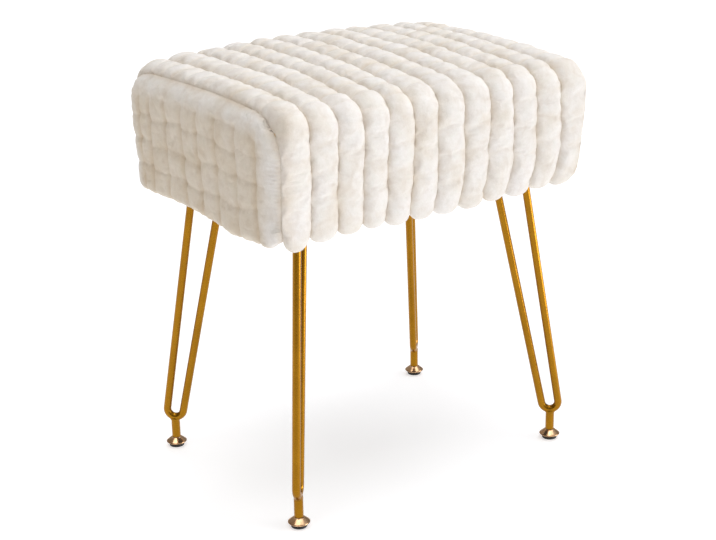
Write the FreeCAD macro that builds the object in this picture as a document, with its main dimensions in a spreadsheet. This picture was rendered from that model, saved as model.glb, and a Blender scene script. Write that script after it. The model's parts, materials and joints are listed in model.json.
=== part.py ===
"""Upholstered vanity stool on four two-rod hairpin legs with levelling glides.

Frame: origin on the floor at the middle of the footprint, +Z up, +X along the
long side of the seat, front face at -Y.  Millimetres.

Construction, from the floor up:
  glide (sole, cap, stud)  screws into a sleeve under the bend of each rod
  rod                      one bent steel rod, two legs wide, welded to a plate
  plate                    bolted through the dust cover into T-nuts
  box frame                base board, four rails, corner blocks, top board
  upholstery               foam slab and side foam inside a three-piece cover
"""
import FreeCAD, Part
import math
import os
import Sketcher
from FreeCAD import Placement, Rotation, Vector

os.makedirs("parts", exist_ok=True)
doc = FreeCAD.newDocument("vanity_stool")

# ------------------------------------------------------------------ sizes
SIZES = [
    # seat cover, outside
    ("seat_length", 424.0, "over both end panels"),
    ("seat_width", 299.0, "over front and back of the band"),
    ("seat_top", 470.0, "top of the crown above the floor"),
    ("seat_under", 313.0, "lowest line of the cover"),
    ("crown_drop", 11.5, "how much lower the top is at the ends"),
    ("seam_x", 200.0, "seam between band and end panel"),
    ("shoulder_r", 44.0, "front and back shoulder of the band"),
    ("end_r", 16.0, "sewn edge of the end panels"),
    ("corner_r", 12.0, "upright corners"),
    ("under_r", 7.0, "roll of the cover at the bottom"),
    ("cover_t", 5.0, "plush with its backing"),
    ("hem_t", 1.9, "hem stapled under the base board"),
    ("hem_x", 172.0, "inner edge of the hem, half length"),
    ("hem_y", 119.0, "inner edge of the hem, half width"),
    ("foam_side_t", 8.5, "side foam sheets"),
    # box frame
    ("board_t", 12.0, "base board"),
    ("rail_t", 12.0, "rails on edge"),
    ("rail_high", 84.0, "rail height"),
    ("top_board_t", 9.0, "board under the foam slab"),
    ("top_board_r", 3.0, "eased top edge of that board"),
    ("block_leg", 28.0, "leg of the triangular corner blocks"),
    ("block_gap", 9.5, "corner blocks stop this far above the base board"),
    ("dust_t", 0.6, "dust cover"),
    ("dust_x", 186.0, "dust cover half length"),
    ("dust_y", 126.0, "dust cover half width"),
    # leg plate and its fasteners
    ("plate_z", 317.0, "underside of the leg plates"),
    ("plate_t", 3.0, "plate thickness"),
    ("plate_side", 60.0, "square plate"),
    ("plate_corner_r", 6.0, "plate corners"),
    ("bolt_spacing", 43.0, "square bolt pattern"),
    ("plate_hole_r", 3.3, "clearance hole for M6"),
    ("bolt_r", 3.0, "M6 shank"),
    ("bolt_length", 18.0, "under the head"),
    ("bolt_head_r", 5.25, "button head"),
    ("bolt_head_high", 3.3, "button head"),
    ("bolt_key", 4.0, "hex socket across flats"),
    ("washer_r", 6.0, "washer outside"),
    ("washer_hole_r", 3.2, "washer inside"),
    ("washer_t", 1.2, "washer thickness"),
    ("tnut_r", 8.5, "T-nut flange"),
    ("tnut_flange_t", 1.5, "T-nut flange"),
    ("tnut_barrel_r", 4.0, "T-nut barrel"),
    ("tnut_barrel_high", 9.0, "T-nut barrel"),
    # hairpin rod, measured in the upright plane on the corner's diagonal
    ("foot_x", 180.7, "sleeve axis from the middle"),
    ("foot_y", 129.5, "sleeve axis from the middle"),
    ("rod_r", 4.5, "round bar"),
    ("rod_out_lean", 9.405, "outer rod from upright, degrees"),
    ("rod_in_lean", 12.223, "inner rod from upright, degrees"),
    ("bend_r", 9.67, "bend, on the centre line"),
    ("bend_x", 0.66, "bend centre, inward of the sleeve axis"),
    ("bend_z", 46.31, "bend centre above the floor"),
    # sleeve and levelling glide
    ("sleeve_r", 5.0, "sleeve outside"),
    ("sleeve_z", 11.5, "lower end of the sleeve"),
    ("sleeve_top", 33.5, "upper end before it is coped to the rod"),
    ("sleeve_bore_r", 3.05, "thread, drawn as a plain running bore"),
    ("sleeve_bore_top", 31.2, "blind end of the thread"),
    ("stud_r", 3.0, "M6 stud"),
    ("stud_top", 30.0, "upper end of the stud"),
    ("cap_r", 12.0, "rim of the glide cap"),
    ("cap_z", 3.1, "underside of the cap"),
    ("cap_rim_low", 5.4, "lower edge of the rim"),
    ("cap_rim_high", 6.3, "upper edge of the rim"),
    ("cap_top", 11.4, "top of the cap"),
    ("cap_top_r", 5.4, "flat at the top of the cap"),
    ("cap_base_r", 8.7, "underside of the cap"),
    ("recess_r", 5.05, "recess for the boss of the sole"),
    ("recess_top", 5.1, "roof of that recess"),
    ("sole_r", 8.7, "sole"),
    ("sole_t", 3.0, "sole"),
    ("sole_edge", 0.8, "eased lower edge of the sole"),
    ("boss_r", 5.0, "boss on the sole"),
    ("boss_top", 5.0, "top of that boss"),
    # small fixings
    ("screw_r", 2.0, "frame screw shank"),
    ("screw_head_r", 4.0, "countersunk head"),
    ("screw_length", 35.0, "frame screw"),
    ("staple_wide", 10.0, "staple crown"),
    ("staple_t", 0.7, "staple wire thickness"),
    ("staple_band", 1.2, "staple wire width"),
    ("staple_leg", 8.0, "staple leg above the crown"),
]
sheet = doc.addObject("Spreadsheet::Sheet", "Dims")
for _row, (_alias, _value, _note) in enumerate(SIZES, start=1):
    sheet.set("A%d" % _row, _alias)
    sheet.set("B%d" % _row, repr(_value))
    sheet.set("C%d" % _row, _note)
    sheet.setAlias("B%d" % _row, _alias)
doc.recompute()


class Q:
    """A size together with the formula that gives it from the sheet."""

    def __init__(self, value, text):
        self.v = float(value)
        self.t = text

    @staticmethod
    def of(other):
        return other if isinstance(other, Q) else Q(other, "(%.9g)" % float(other))

    def __add__(self, o):
        o = Q.of(o)
        return Q(self.v + o.v, "(%s + %s)" % (self.t, o.t))

    def __radd__(self, o):
        return Q.of(o) + self

    def __sub__(self, o):
        o = Q.of(o)
        return Q(self.v - o.v, "(%s - %s)" % (self.t, o.t))

    def __rsub__(self, o):
        return Q.of(o) - self

    def __mul__(self, o):
        o = Q.of(o)
        return Q(self.v * o.v, "(%s * %s)" % (self.t, o.t))

    def __rmul__(self, o):
        return Q.of(o) * self

    def __truediv__(self, o):
        o = Q.of(o)
        return Q(self.v / o.v, "(%s / %s)" % (self.t, o.t))

    def __neg__(self):
        return Q(-self.v, "(0 - %s)" % self.t)


def cosd(a):
    return Q(math.cos(math.radians(a.v)), "cos(%s)" % a.t)


def sind(a):
    return Q(math.sin(math.radians(a.v)), "sin(%s)" % a.t)


def tand(a):
    return Q(math.tan(math.radians(a.v)), "tan(%s)" % a.t)


D = {alias: Q(float(value), "Dims." + alias) for alias, value, _n in SIZES}


# ---------------------------------------------------------------- helpers
def bind(obj, prop, q):
    q = Q.of(q)
    obj.setExpression(prop, q.t)


def put(obj, x=0.0, y=0.0, z=0.0, turn=0.0):
    """Placement: a turn about Z, and a position bound to the sheet."""
    x, y, z = Q.of(x), Q.of(y), Q.of(z)
    obj.Placement = Placement(Vector(x.v, y.v, z.v), Rotation(Vector(0, 0, 1), turn))
    for axis, q in (("x", x), ("y", y), ("z", z)):
        if "Dims" in q.t:
            obj.setExpression("Placement.Base." + axis, q.t)


def body(name):
    b = doc.addObject("PartDesign::Body", name)
    b.Label = name
    return b


def origin_plane(b, role):
    return [f for f in b.Origin.OriginFeatures if f.Role == role][0]


def sketch(b, name, role, base=None, tilt=None):
    """Sketch on one of the body's own origin planes; base shifts it."""
    s = b.newObject("Sketcher::SketchObject", name)
    s.AttachmentSupport = [(origin_plane(b, role), "")]
    s.MapMode = "FlatFace"
    rot = Rotation()
    if tilt is not None:
        rot = Rotation(Vector(0, 1, 0), tilt.v)
    if base is not None or tilt is not None:
        base = [Q.of(c) for c in (base or (0, 0, 0))]
        s.AttachmentOffset = Placement(Vector(*[c.v for c in base]), rot)
        for axis, c in zip("xyz", base):
            if "Dims" in c.t:
                s.setExpression("AttachmentOffset.Base." + axis, c.t)
        if tilt is not None:
            s.setExpression("AttachmentOffset.Rotation.Angle", tilt.t)
    return s


def pin_point(s, geo, pos, x, y):
    """Hold one point of the sketch at x, y from its origin."""
    for kind, q, axis in (("DistanceX", Q.of(x), -2), ("DistanceY", Q.of(y), -1)):
        if abs(q.v) < 1e-9:
            s.addConstraint(Sketcher.Constraint("PointOnObject", geo, pos, axis))
        else:
            c = s.addConstraint(Sketcher.Constraint(kind, -1, 1, geo, pos, q.v))
            if "Dims" in q.t:
                s.setExpression("Constraints[%d]" % c, q.t)


def outline(s, pts):
    """Closed outline of straight lines, each corner held by the sheet."""
    pts = [(Q.of(x), Q.of(y)) for x, y in pts]
    n = len(pts)
    first = s.GeometryCount
    vec = [Vector(x.v, y.v, 0) for x, y in pts]
    for i in range(n):
        s.addGeometry(Part.LineSegment(vec[i], vec[(i + 1) % n]), False)
    for i in range(n):
        s.addConstraint(Sketcher.Constraint("Coincident", first + i, 2, first + (i + 1) % n, 1))
    for i in range(n):
        pin_point(s, first + i, 1, *pts[i])


def circle(s, x, y, r):
    x, y, r = Q.of(x), Q.of(y), Q.of(r)
    g = s.addGeometry(Part.Circle(Vector(x.v, y.v, 0), Vector(0, 0, 1), r.v), False)
    pin_point(s, g, 3, x, y)
    c = s.addConstraint(Sketcher.Constraint("Radius", g, r.v))
    if "Dims" in r.t:
        s.setExpression("Constraints[%d]" % c, r.t)


def rectangle(s, half_x, half_y, cx=0.0, cy=0.0):
    half_x, half_y, cx, cy = Q.of(half_x), Q.of(half_y), Q.of(cx), Q.of(cy)
    outline(s, [(cx - half_x, cy - half_y), (cx + half_x, cy - half_y),
                (cx + half_x, cy + half_y), (cx - half_x, cy + half_y)])


def pad(b, s, length, symmetric=False, reverse=False):
    f = b.newObject("PartDesign::Pad", b.Name + "_pad")
    f.Profile = s
    if symmetric:
        f.SideType = "Symmetric"
    f.Reversed = reverse
    f.Length = Q.of(length).v
    bind(f, "Length", length)
    s.Visibility = False
    return f


def pocket(b, s, length=None, reverse=False):
    f = b.newObject("PartDesign::Pocket", b.Name + "_pocket")
    f.Profile = s
    f.Reversed = reverse
    if length is None:
        f.Type = "ThroughAll"
    else:
        f.Length = Q.of(length).v
        bind(f, "Length", length)
    s.Visibility = False
    return f


def lathe(b, s):
    f = b.newObject("PartDesign::Revolution", b.Name + "_turned")
    f.Profile = s
    f.ReferenceAxis = (s, ["V_Axis"])
    f.Angle = 360.0
    s.Visibility = False
    return f


def fillet(b, base, radius, test):
    """Fillet the edges of the feature that the test picks."""
    doc.recompute()
    names = ["Edge%d" % (i + 1) for i, e in enumerate(base.Shape.Edges) if test(e)]
    if not names:
        raise RuntimeError("no edge to fillet on " + b.Label)
    f = b.newObject("PartDesign::Fillet", b.Name + "_fillet")
    f.Base = (base, names)
    f.Radius = Q.of(radius).v
    bind(f, "Radius", radius)
    return f


def along(e, axis):
    if len(e.Vertexes) != 2 or not isinstance(e.Curve, Part.Line):
        return False
    d = e.Vertexes[1].Point - e.Vertexes[0].Point
    d.normalize()
    return abs(abs(d.dot(axis)) - 1.0) < 1e-6


def mid(e):
    return e.CenterOfMass


X, Y, Z = Vector(1, 0, 0), Vector(0, 1, 0), Vector(0, 0, 1)


def box(name, x0, x1, y0, y1, z0, z1):
    o = doc.addObject("Part::Box", name)
    x0, x1, y0, y1, z0, z1 = [Q.of(q) for q in (x0, x1, y0, y1, z0, z1)]
    for prop, q in (("Length", x1 - x0), ("Width", y1 - y0), ("Height", z1 - z0)):
        setattr(o, prop, q.v)
        bind(o, prop, q)
    put(o, x0, y0, z0)
    return o


def boolean(kind, name, base, tool):
    o = doc.addObject("Part::" + kind, name)
    o.Base = base
    o.Tool = tool
    o.Refine = True
    return o


def group(name, pattern, places):
    """Many identical solids in one node: links to the pattern, compounded."""
    links = []
    for i, (x, y, z, rot) in enumerate(places):
        link = doc.addObject("App::Link", "%s_%02d" % (name, i + 1))
        link.LinkedObject = pattern
        x, y, z = Q.of(x), Q.of(y), Q.of(z)
        link.Placement = Placement(Vector(x.v, y.v, z.v), rot)
        for axis, q in (("x", x), ("y", y), ("z", z)):
            if "Dims" in q.t:
                link.setExpression("Placement.Base." + axis, q.t)
        links.append(link)
    c = doc.addObject("Part::Compound", name)
    c.Label = name
    c.Links = links
    return c


NODES = {}


def node(obj, name):
    obj.Label = name
    NODES[name] = obj
    return obj


# ------------------------------------------------------- derived levels
half_l = D["seat_length"] / 2
half_w = D["seat_width"] / 2
dust_z = D["plate_z"] + D["plate_t"]
hem_z = dust_z + D["dust_t"]
board_z = hem_z + D["hem_t"]
rail_z = board_z + D["board_t"]
top_z = rail_z + D["rail_high"]
foam_z = top_z + D["top_board_t"]
frame_x = half_l - D["cover_t"] - D["foam_side_t"]
frame_y = half_w - D["cover_t"] - D["foam_side_t"]


# ----------------------------------------------------- seat outer shapes
def seat_block(name, inset):
    """The cushion's block: one prism across, one prism along, in common."""
    hw = half_w - inset
    hl = half_l - inset
    low = D["seat_under"] + inset
    high = D["seat_top"] - inset

    across = body(name + "_across")
    s = sketch(across, name + "_across_section", "YZ_Plane")
    outline(s, [(-hw, low), (hw, low), (hw, high), (-hw, high)])
    p = pad(across, s, hl * 2 + 20, symmetric=True)
    f = fillet(across, p, D["shoulder_r"] - inset,
               lambda e: along(e, X) and mid(e).z > high.v - 1)
    fillet(across, f, D["under_r"] - inset * 0.8,
           lambda e: along(e, X) and mid(e).z < low.v + 1)

    lengthwise = body(name + "_lengthwise")
    s = sketch(lengthwise, name + "_lengthwise_section", "XZ_Plane")
    drop = D["crown_drop"]
    end_z = high - drop
    pts = [(hl, end_z), (-hl, end_z), (-hl, low), (hl, low)]
    vec = [Vector(x.v, y.v, 0) for x, y in pts]
    s.addGeometry(Part.Arc(vec[0], Vector(0, high.v, 0), vec[1]), False)
    for i in (1, 2, 3):
        s.addGeometry(Part.LineSegment(vec[i], vec[(i + 1) % 4]), False)
    # the crown's arc keeps its own sense, so its ends are joined by position
    arc = s.Geometry[0]
    start_is_right = (arc.StartPoint - vec[0]).Length < 1e-6
    a0, a1 = (1, 2) if start_is_right else (2, 1)
    s.addConstraint(Sketcher.Constraint("Coincident", 0, a1, 1, 1))
    s.addConstraint(Sketcher.Constraint("Coincident", 1, 2, 2, 1))
    s.addConstraint(Sketcher.Constraint("Coincident", 2, 2, 3, 1))
    s.addConstraint(Sketcher.Constraint("Coincident", 3, 2, 0, a0))
    pin_point(s, 1, 1, *pts[1])
    pin_point(s, 2, 1, *pts[2])
    pin_point(s, 3, 1, *pts[3])
    pin_point(s, 0, a0, *pts[0])
    crown_r = (hl * hl + drop * drop) / (drop * 2)
    c = s.addConstraint(Sketcher.Constraint("Radius", 0, crown_r.v))
    s.setExpression("Constraints[%d]" % c, crown_r.t)
    p = pad(lengthwise, s, hw * 2, symmetric=True)
    f = fillet(lengthwise, p, D["corner_r"] - inset,
               lambda e: along(e, Z) and abs(mid(e).x) > hl.v - 1)
    f = fillet(lengthwise, f, D["end_r"] - inset,
               lambda e: along(e, Y) and mid(e).z > low.v + 50)
    fillet(lengthwise, f, D["under_r"] - inset * 0.8,
           lambda e: along(e, Y) and mid(e).z < low.v + 1)
    doc.recompute()
    return boolean("Common", name, across, lengthwise)


outer = seat_block("seat_outside", Q.of(0.0))
core_block = seat_block("seat_inside", D["cover_t"])
under_box = box("room_for_base_board", -frame_x, frame_x, -frame_y, frame_y,
                D["seat_under"], board_z)
core = boolean("Cut", "upholstered_core", core_block, under_box)

lip_x = frame_x - D["cover_t"]
lip_y = frame_y - D["cover_t"]
shell_closed = boolean("Cut", "cover_closed", outer, core)
opening_box = box("underside_opening", -lip_x, lip_x, -lip_y, lip_y,
                  D["seat_under"] - 2, hem_z)
shell_open = boolean("Cut", "cover_with_opening", shell_closed, opening_box)
hem_box = box("hem_opening", -D["hem_x"], D["hem_x"], -D["hem_y"], D["hem_y"],
              hem_z - 1, board_z)
shell = boolean("Cut", "cover_with_hem", shell_open, hem_box)

low_all, high_all = D["seat_under"] - 5, D["seat_top"] + 5
far_x, far_y = half_l + 20, half_w + 20
band_box = box("band_extent", -D["seam_x"], D["seam_x"], -far_y, far_y, low_all, high_all)
node(boolean("Common", "cover_band", shell, band_box), "cover_band")
left_box = box("left_end_extent", -far_x, -D["seam_x"], -far_y, far_y, low_all, high_all)
node(boolean("Common", "cover_end_left", shell, left_box), "cover_end_left")
right_box = box("right_end_extent", D["seam_x"], far_x, -far_y, far_y, low_all, high_all)
node(boolean("Common", "cover_end_right", shell, right_box), "cover_end_right")

# ------------------------------------------------------------------ foam
top_box = box("slab_extent", -far_x, far_x, -far_y, far_y, foam_z, high_all)
node(boolean("Common", "foam_top", core, top_box), "foam_top")
for name, x0, x1, y0, y1 in (
        ("foam_front", -frame_x, frame_x, -far_y, -frame_y),
        ("foam_back", -frame_x, frame_x, frame_y, far_y),
        ("foam_left", -far_x, -frame_x, -far_y, far_y),
        ("foam_right", frame_x, far_x, -far_y, far_y)):
    b = box(name + "_extent", x0, x1, y0, y1, low_all, foam_z)
    node(boolean("Common", name, core, b), name)

# ------------------------------------------------------------- box frame
plate_half = D["plate_side"] / 2
bolt_half = D["bolt_spacing"] / 2
diag = math.sqrt(0.5)
# middle of the two rod ends at the plate, inward of the sleeve axis
rise = D["plate_z"] - D["bend_z"]
rod_top_out = (D["bend_x"] - D["bend_r"] / cosd(D["rod_out_lean"])
               + rise * tand(D["rod_out_lean"]))
rod_top_in = (D["bend_x"] + D["bend_r"] / cosd(D["rod_in_lean"])
              + rise * tand(D["rod_in_lean"]))
plate_in = (rod_top_out + rod_top_in) * (0.5 * diag)
plate_x = D["foot_x"] - plate_in
plate_y = D["foot_y"] - plate_in

LEGS = {"front_left": (-1, -1), "front_right": (1, -1),
        "back_left": (-1, 1), "back_right": (1, 1)}
bolt_xy = []
for sx, sy in LEGS.values():
    for ix in (-1, 1):
        for iy in (-1, 1):
            bolt_xy.append((plate_x * sx + bolt_half * ix, plate_y * sy + bolt_half * iy))

b = body("base_board")
s = sketch(b, "base_board_outline", "XY_Plane")
rectangle(s, frame_x, frame_y)
p = pad(b, s, D["board_t"])
doc.recompute()
before = b.Shape.Volume
s = sketch(b, "base_board_tnut_holes", "XY_Plane")
for x, y in bolt_xy:
    circle(s, x, y, D["tnut_barrel_r"])
pocket(b, s, D["board_t"], reverse=True)
doc.recompute()
expected = 16 * math.pi * D["tnut_barrel_r"].v ** 2 * D["board_t"].v
if abs(before - b.Shape.Volume - expected) > 1.0:
    raise RuntimeError("the holes of the base board aren't cut")
put(b, z=board_z)
node(b, "base_board")

for name, hx, hy, cx, cy in (
        ("rail_front", frame_x, D["rail_t"] / 2, 0.0, -(frame_y - D["rail_t"] / 2)),
        ("rail_back", frame_x, D["rail_t"] / 2, 0.0, frame_y - D["rail_t"] / 2),
        ("rail_left", D["rail_t"] / 2, frame_y - D["rail_t"], -(frame_x - D["rail_t"] / 2), 0.0),
        ("rail_right", D["rail_t"] / 2, frame_y - D["rail_t"], frame_x - D["rail_t"] / 2, 0.0)):
    b = body(name)
    s = sketch(b, name + "_section", "XY_Plane")
    rectangle(s, hx, hy)
    pad(b, s, D["rail_high"])
    put(b, cx, cy, rail_z)
    node(b, name)

for name, (sx, sy) in LEGS.items():
    b = body("corner_block_" + name)
    s = sketch(b, b.Name + "_section", "XY_Plane")
    leg = D["block_leg"]
    outline(s, [(0, 0), (leg * (-sx), 0), (0, leg * (-sy))])
    pad(b, s, D["rail_high"] - D["block_gap"])
    put(b, (frame_x - D["rail_t"]) * sx, (frame_y - D["rail_t"]) * sy, rail_z + D["block_gap"])
    node(b, "corner_block_" + name)

b = body("top_board")
s = sketch(b, "top_board_outline", "XY_Plane")
rectangle(s, frame_x, frame_y)
p = pad(b, s, D["top_board_t"])
fillet(b, p, D["top_board_r"],
       lambda e: mid(e).z > D["top_board_t"].v - 0.01 and not along(e, Z))
put(b, z=top_z)
node(b, "top_board")

b = body("dust_cover")
s = sketch(b, "dust_cover_outline", "XY_Plane")
rectangle(s, D["dust_x"], D["dust_y"])
p = pad(b, s, D["dust_t"])
s = sketch(b, "dust_cover_holes", "XY_Plane")
for x, y in bolt_xy:
    circle(s, x, y, D["plate_hole_r"])
pocket(b, s, D["dust_t"], reverse=True)
put(b, z=dust_z)
node(b, "dust_cover")

# -------------------------------------------------------------- hairpins
turn = {"front_left": 45.0, "front_right": 135.0, "back_left": -45.0, "back_right": -135.0}
for name, (sx, sy) in LEGS.items():
    fx, fy = D["foot_x"] * sx, D["foot_y"] * sy

    # leg plate: square, aligned with the seat, four clearance holes
    b = body("leg_plate_" + name)
    s = sketch(b, b.Name + "_outline", "XY_Plane")
    rectangle(s, plate_half, plate_half)
    for ix in (-1, 1):
        for iy in (-1, 1):
            circle(s, bolt_half * ix, bolt_half * iy, D["plate_hole_r"])
    p = pad(b, s, D["plate_t"])
    fillet(b, p, D["plate_corner_r"], lambda e: along(e, Z) and e.Length > 1)
    put(b, plate_x * sx, plate_y * sy, D["plate_z"])
    node(b, "leg_plate_" + name)

    # hairpin rod, swept along line, bend, line in the diagonal plane
    b = body("hairpin_rod_" + name)
    over = rise + 6.0
    a1, a2 = D["rod_out_lean"], D["rod_in_lean"]
    bx, bz, br = D["bend_x"], D["bend_z"], D["bend_r"]
    top_out = (bx - br / cosd(a1) + over * tand(a1), bz + over)
    top_in = (bx + br / cosd(a2) + over * tand(a2), bz + over)
    t_out = (bx - br * cosd(a1), bz + br * sind(a1))
    t_in = (bx + br * cosd(a2), bz - br * sind(a2))
    spine = sketch(b, b.Name + "_path", "XZ_Plane")
    v = [Vector(q[0].v, q[1].v, 0) for q in (top_out, t_out, t_in, top_in)]
    lowest = Vector(bx.v, bz.v - br.v, 0)
    spine.addGeometry(Part.LineSegment(v[0], v[1]), False)
    spine.addGeometry(Part.Arc(v[1], lowest, v[2]), False)
    spine.addGeometry(Part.LineSegment(v[2], v[3]), False)
    arc = spine.Geometry[1]
    e1, e2 = (1, 2) if (arc.StartPoint - v[1]).Length < 1e-6 else (2, 1)
    spine.addConstraint(Sketcher.Constraint("Coincident", 0, 2, 1, e1))
    spine.addConstraint(Sketcher.Constraint("Coincident", 1, e2, 2, 1))
    pin_point(spine, 0, 1, *top_out)
    pin_point(spine, 0, 2, *t_out)
    pin_point(spine, 2, 1, *t_in)
    pin_point(spine, 2, 2, *top_in)
    c = spine.addConstraint(Sketcher.Constraint("Radius", 1, br.v))
    spine.setExpression("Constraints[%d]" % c, br.t)
    ring = sketch(b, b.Name + "_section", "XY_Plane",
                  base=(top_out[0], 0.0, top_out[1]), tilt=a1)
    circle(ring, 0.0, 0.0, D["rod_r"])
    pipe = b.newObject("PartDesign::AdditivePipe", b.Name + "_sweep")
    pipe.Profile = ring
    pipe.Spine = (spine, ["Edge1", "Edge2", "Edge3"])
    spine.Visibility = False
    ring.Visibility = False
    doc.recompute()
    length = spine.Shape.Length
    want = math.pi * D["rod_r"].v ** 2 * length
    if abs(b.Shape.Volume - want) > 0.01 * want:
        raise RuntimeError("the swept rod has the wrong volume: %.1f, not %.1f"
                           % (b.Shape.Volume, want))
    trim = sketch(b, b.Name + "_trim", "XY_Plane", base=(0.0, 0.0, D["plate_z"]))
    rectangle(trim, 60.0, 20.0, 52.0, 0.0)
    before = b.Shape.Volume
    pocket(b, trim, 20.0, reverse=True)
    doc.recompute()
    if not b.Shape.Volume < before - 100:
        raise RuntimeError("the rod isn't trimmed at the plate")
    put(b, fx, fy, 0.0, turn[name])
    node(b, "hairpin_rod_" + name)
    rod = b

    # threaded sleeve, coped to the underside of the bend
    b = body("sleeve_blank_" + name)
    s = sketch(b, b.Name + "_section", "XZ_Plane")
    br_, z0, z1 = D["sleeve_bore_r"], D["sleeve_z"], D["sleeve_top"]
    outline(s, [(0, D["sleeve_bore_top"]), (br_, D["sleeve_bore_top"]), (br_, z0 + 0.6),
                (br_ + 0.5, z0), (D["sleeve_r"] - 0.4, z0), (D["sleeve_r"], z0 + 0.4),
                (D["sleeve_r"], z1), (0, z1)])
    lathe(b, s)
    put(b, fx, fy, 0.0, turn[name])
    node(boolean("Cut", "foot_sleeve_" + name, b, rod), "foot_sleeve_" + name)

    # glide stud: pressed in the cap, running in the sleeve
    b = body("glide_stud_" + name)
    s = sketch(b, b.Name + "_section", "XZ_Plane")
    outline(s, [(0, D["recess_top"]), (D["stud_r"], D["recess_top"]),
                (D["stud_r"], D["stud_top"] - 0.8), (D["stud_r"] - 0.8, D["stud_top"]),
                (0, D["stud_top"])])
    lathe(b, s)
    put(b, fx, fy, 0.0)
    node(b, "glide_stud_" + name)

    # glide cap: two cones back to back, bored for the stud and the sole's boss
    b = body("glide_cap_" + name)
    s = sketch(b, b.Name + "_section", "XZ_Plane")
    outline(s, [(D["stud_r"], D["recess_top"]), (D["recess_r"], D["recess_top"]),
                (D["recess_r"], D["cap_z"]), (D["cap_base_r"], D["cap_z"]),
                (D["cap_r"], D["cap_rim_low"]), (D["cap_r"], D["cap_rim_high"]),
                (D["cap_top_r"], D["cap_top"]), (D["stud_r"], D["cap_top"])])
    lathe(b, s)
    put(b, fx, fy, 0.0)
    node(b, "glide_cap_" + name)

    # sole: stays still on the floor while the cap turns on its boss
    b = body("glide_sole_" + name)
    s = sketch(b, b.Name + "_section", "XZ_Plane")
    outline(s, [(0, 0), (D["sole_r"] - D["sole_edge"], 0), (D["sole_r"], D["sole_edge"]),
                (D["sole_r"], D["sole_t"]), (D["boss_r"], D["sole_t"]),
                (D["boss_r"], D["boss_top"]), (0, D["boss_top"])])
    lathe(b, s)
    put(b, fx, fy, 0.0)
    node(b, "glide_sole_" + name)

# ------------------------------------------------------------- fasteners
straight = Rotation()

b = body("bolt_pattern_piece")
s = sketch(b, "bolt_section", "XZ_Plane")
hr, hh, r = D["bolt_head_r"], D["bolt_head_high"], D["bolt_r"]
outline(s, [(0, -hh), (hr * 0.62, -hh), (hr * 0.88, -hh * 0.72), (hr, -hh * 0.25), (hr, 0),
            (r, 0), (r, D["bolt_length"] - 0.8), (r - 0.8, D["bolt_length"]),
            (0, D["bolt_length"])])
lathe(b, s)
doc.recompute()
before = b.Shape.Volume
s = sketch(b, "bolt_socket", "XY_Plane", base=(0.0, 0.0, -hh))
corner = D["bolt_key"] / (2 * math.cos(math.radians(30)))
outline(s, [(corner * math.cos(math.radians(60 * i)) if i not in () else 0,
             corner * math.sin(math.radians(60 * i))) for i in range(6)])
pocket(b, s, hh * 0.6, reverse=True)
doc.recompute()
if not before - b.Shape.Volume > 10:
    raise RuntimeError("the socket of the bolt isn't cut")
bolt_z = D["plate_z"] - D["washer_t"]
node(group("leg_bolts", b, [(x, y, bolt_z, straight) for x, y in bolt_xy]), "leg_bolts")

b = body("washer_pattern_piece")
s = sketch(b, "washer_section", "XY_Plane")
circle(s, 0, 0, D["washer_r"])
circle(s, 0, 0, D["washer_hole_r"])
pad(b, s, D["washer_t"])
node(group("leg_washers", b, [(x, y, bolt_z, straight) for x, y in bolt_xy]), "leg_washers")

b = body("tnut_pattern_piece")
s = sketch(b, "tnut_section", "XZ_Plane")
outline(s, [(D["bolt_r"], -D["tnut_barrel_high"]), (D["tnut_barrel_r"], -D["tnut_barrel_high"]),
            (D["tnut_barrel_r"], 0), (D["tnut_r"], 0), (D["tnut_r"], D["tnut_flange_t"]),
            (D["bolt_r"], D["tnut_flange_t"])])
lathe(b, s)
node(group("t_nuts", b, [(x, y, rail_z, straight) for x, y in bolt_xy]), "t_nuts")

# countersunk frame screws: head at the local origin, point along -Z
b = body("screw_pattern_piece")
s = sketch(b, "screw_section", "XZ_Plane")
sr, sh, sl = D["screw_r"], D["screw_head_r"], D["screw_length"]
outline(s, [(0, 0), (sh, 0), (sr, -(sh - sr)), (sr, -(sl - 4)), (0, -sl)])
lathe(b, s)
flipped = Rotation(Vector(1, 0, 0), 180)
rail_y = frame_y - D["rail_t"] / 2
rail_x = frame_x - D["rail_t"] / 2
places = []
for sy in (-1, 1):
    for x in (-150.0, 0.0, 150.0):
        places.append((x, rail_y * sy, foam_z, straight))
    for x in (-95.0, 95.0):
        places.append((x, rail_y * sy, board_z, flipped))
for sx in (-1, 1):
    for y in (-70.0, 70.0):
        places.append((rail_x * sx, y, foam_z, straight))
    for y in (-35.0, 35.0):
        places.append((rail_x * sx, y, board_z, flipped))
node(group("frame_screws", b, places), "frame_screws")

# staples: crown below the dust cover, legs up into the base board
b = body("staple_pattern_piece")
s = sketch(b, "staple_outline", "XZ_Plane")
w, t, lg = D["staple_wide"] / 2, D["staple_t"], D["staple_leg"]
outline(s, [(-w, -t), (w, -t), (w, lg), (w - t, lg), (w - t, 0), (-(w - t), 0), (-(w - t), lg),
            (-w, lg)])
pad(b, s, D["staple_band"], symmetric=True)
sideways = Rotation(Vector(0, 0, 1), 90)
staple_y = D["dust_y"] - 1.7
staple_x = D["dust_x"] - 3.0
places = []
for sy in (-1, 1):
    for i in range(11):
        places.append((-160.0 + 32.0 * i, staple_y * sy, dust_z, straight))
for sx in (-1, 1):
    for i in range(7):
        places.append((staple_x * sx, -96.0 + 32.0 * i, dust_z, sideways))
node(group("staples", b, places), "staples")

# ------------------------------------------------------------ check, write
doc.recompute()
faults = []
for obj in doc.Objects:
    if "Invalid" in obj.State or "Error" in obj.State:
        faults.append("%s (%s): %s" % (obj.Name, obj.Label, ", ".join(obj.State)))
for name, obj in NODES.items():
    shape = obj.Shape
    if shape.isNull() or not shape.isValid():
        faults.append("%s: shape null or not valid" % name)
    elif not shape.Solids:
        faults.append("%s: no solid" % name)
if faults:
    raise RuntimeError("; ".join(faults))

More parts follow.
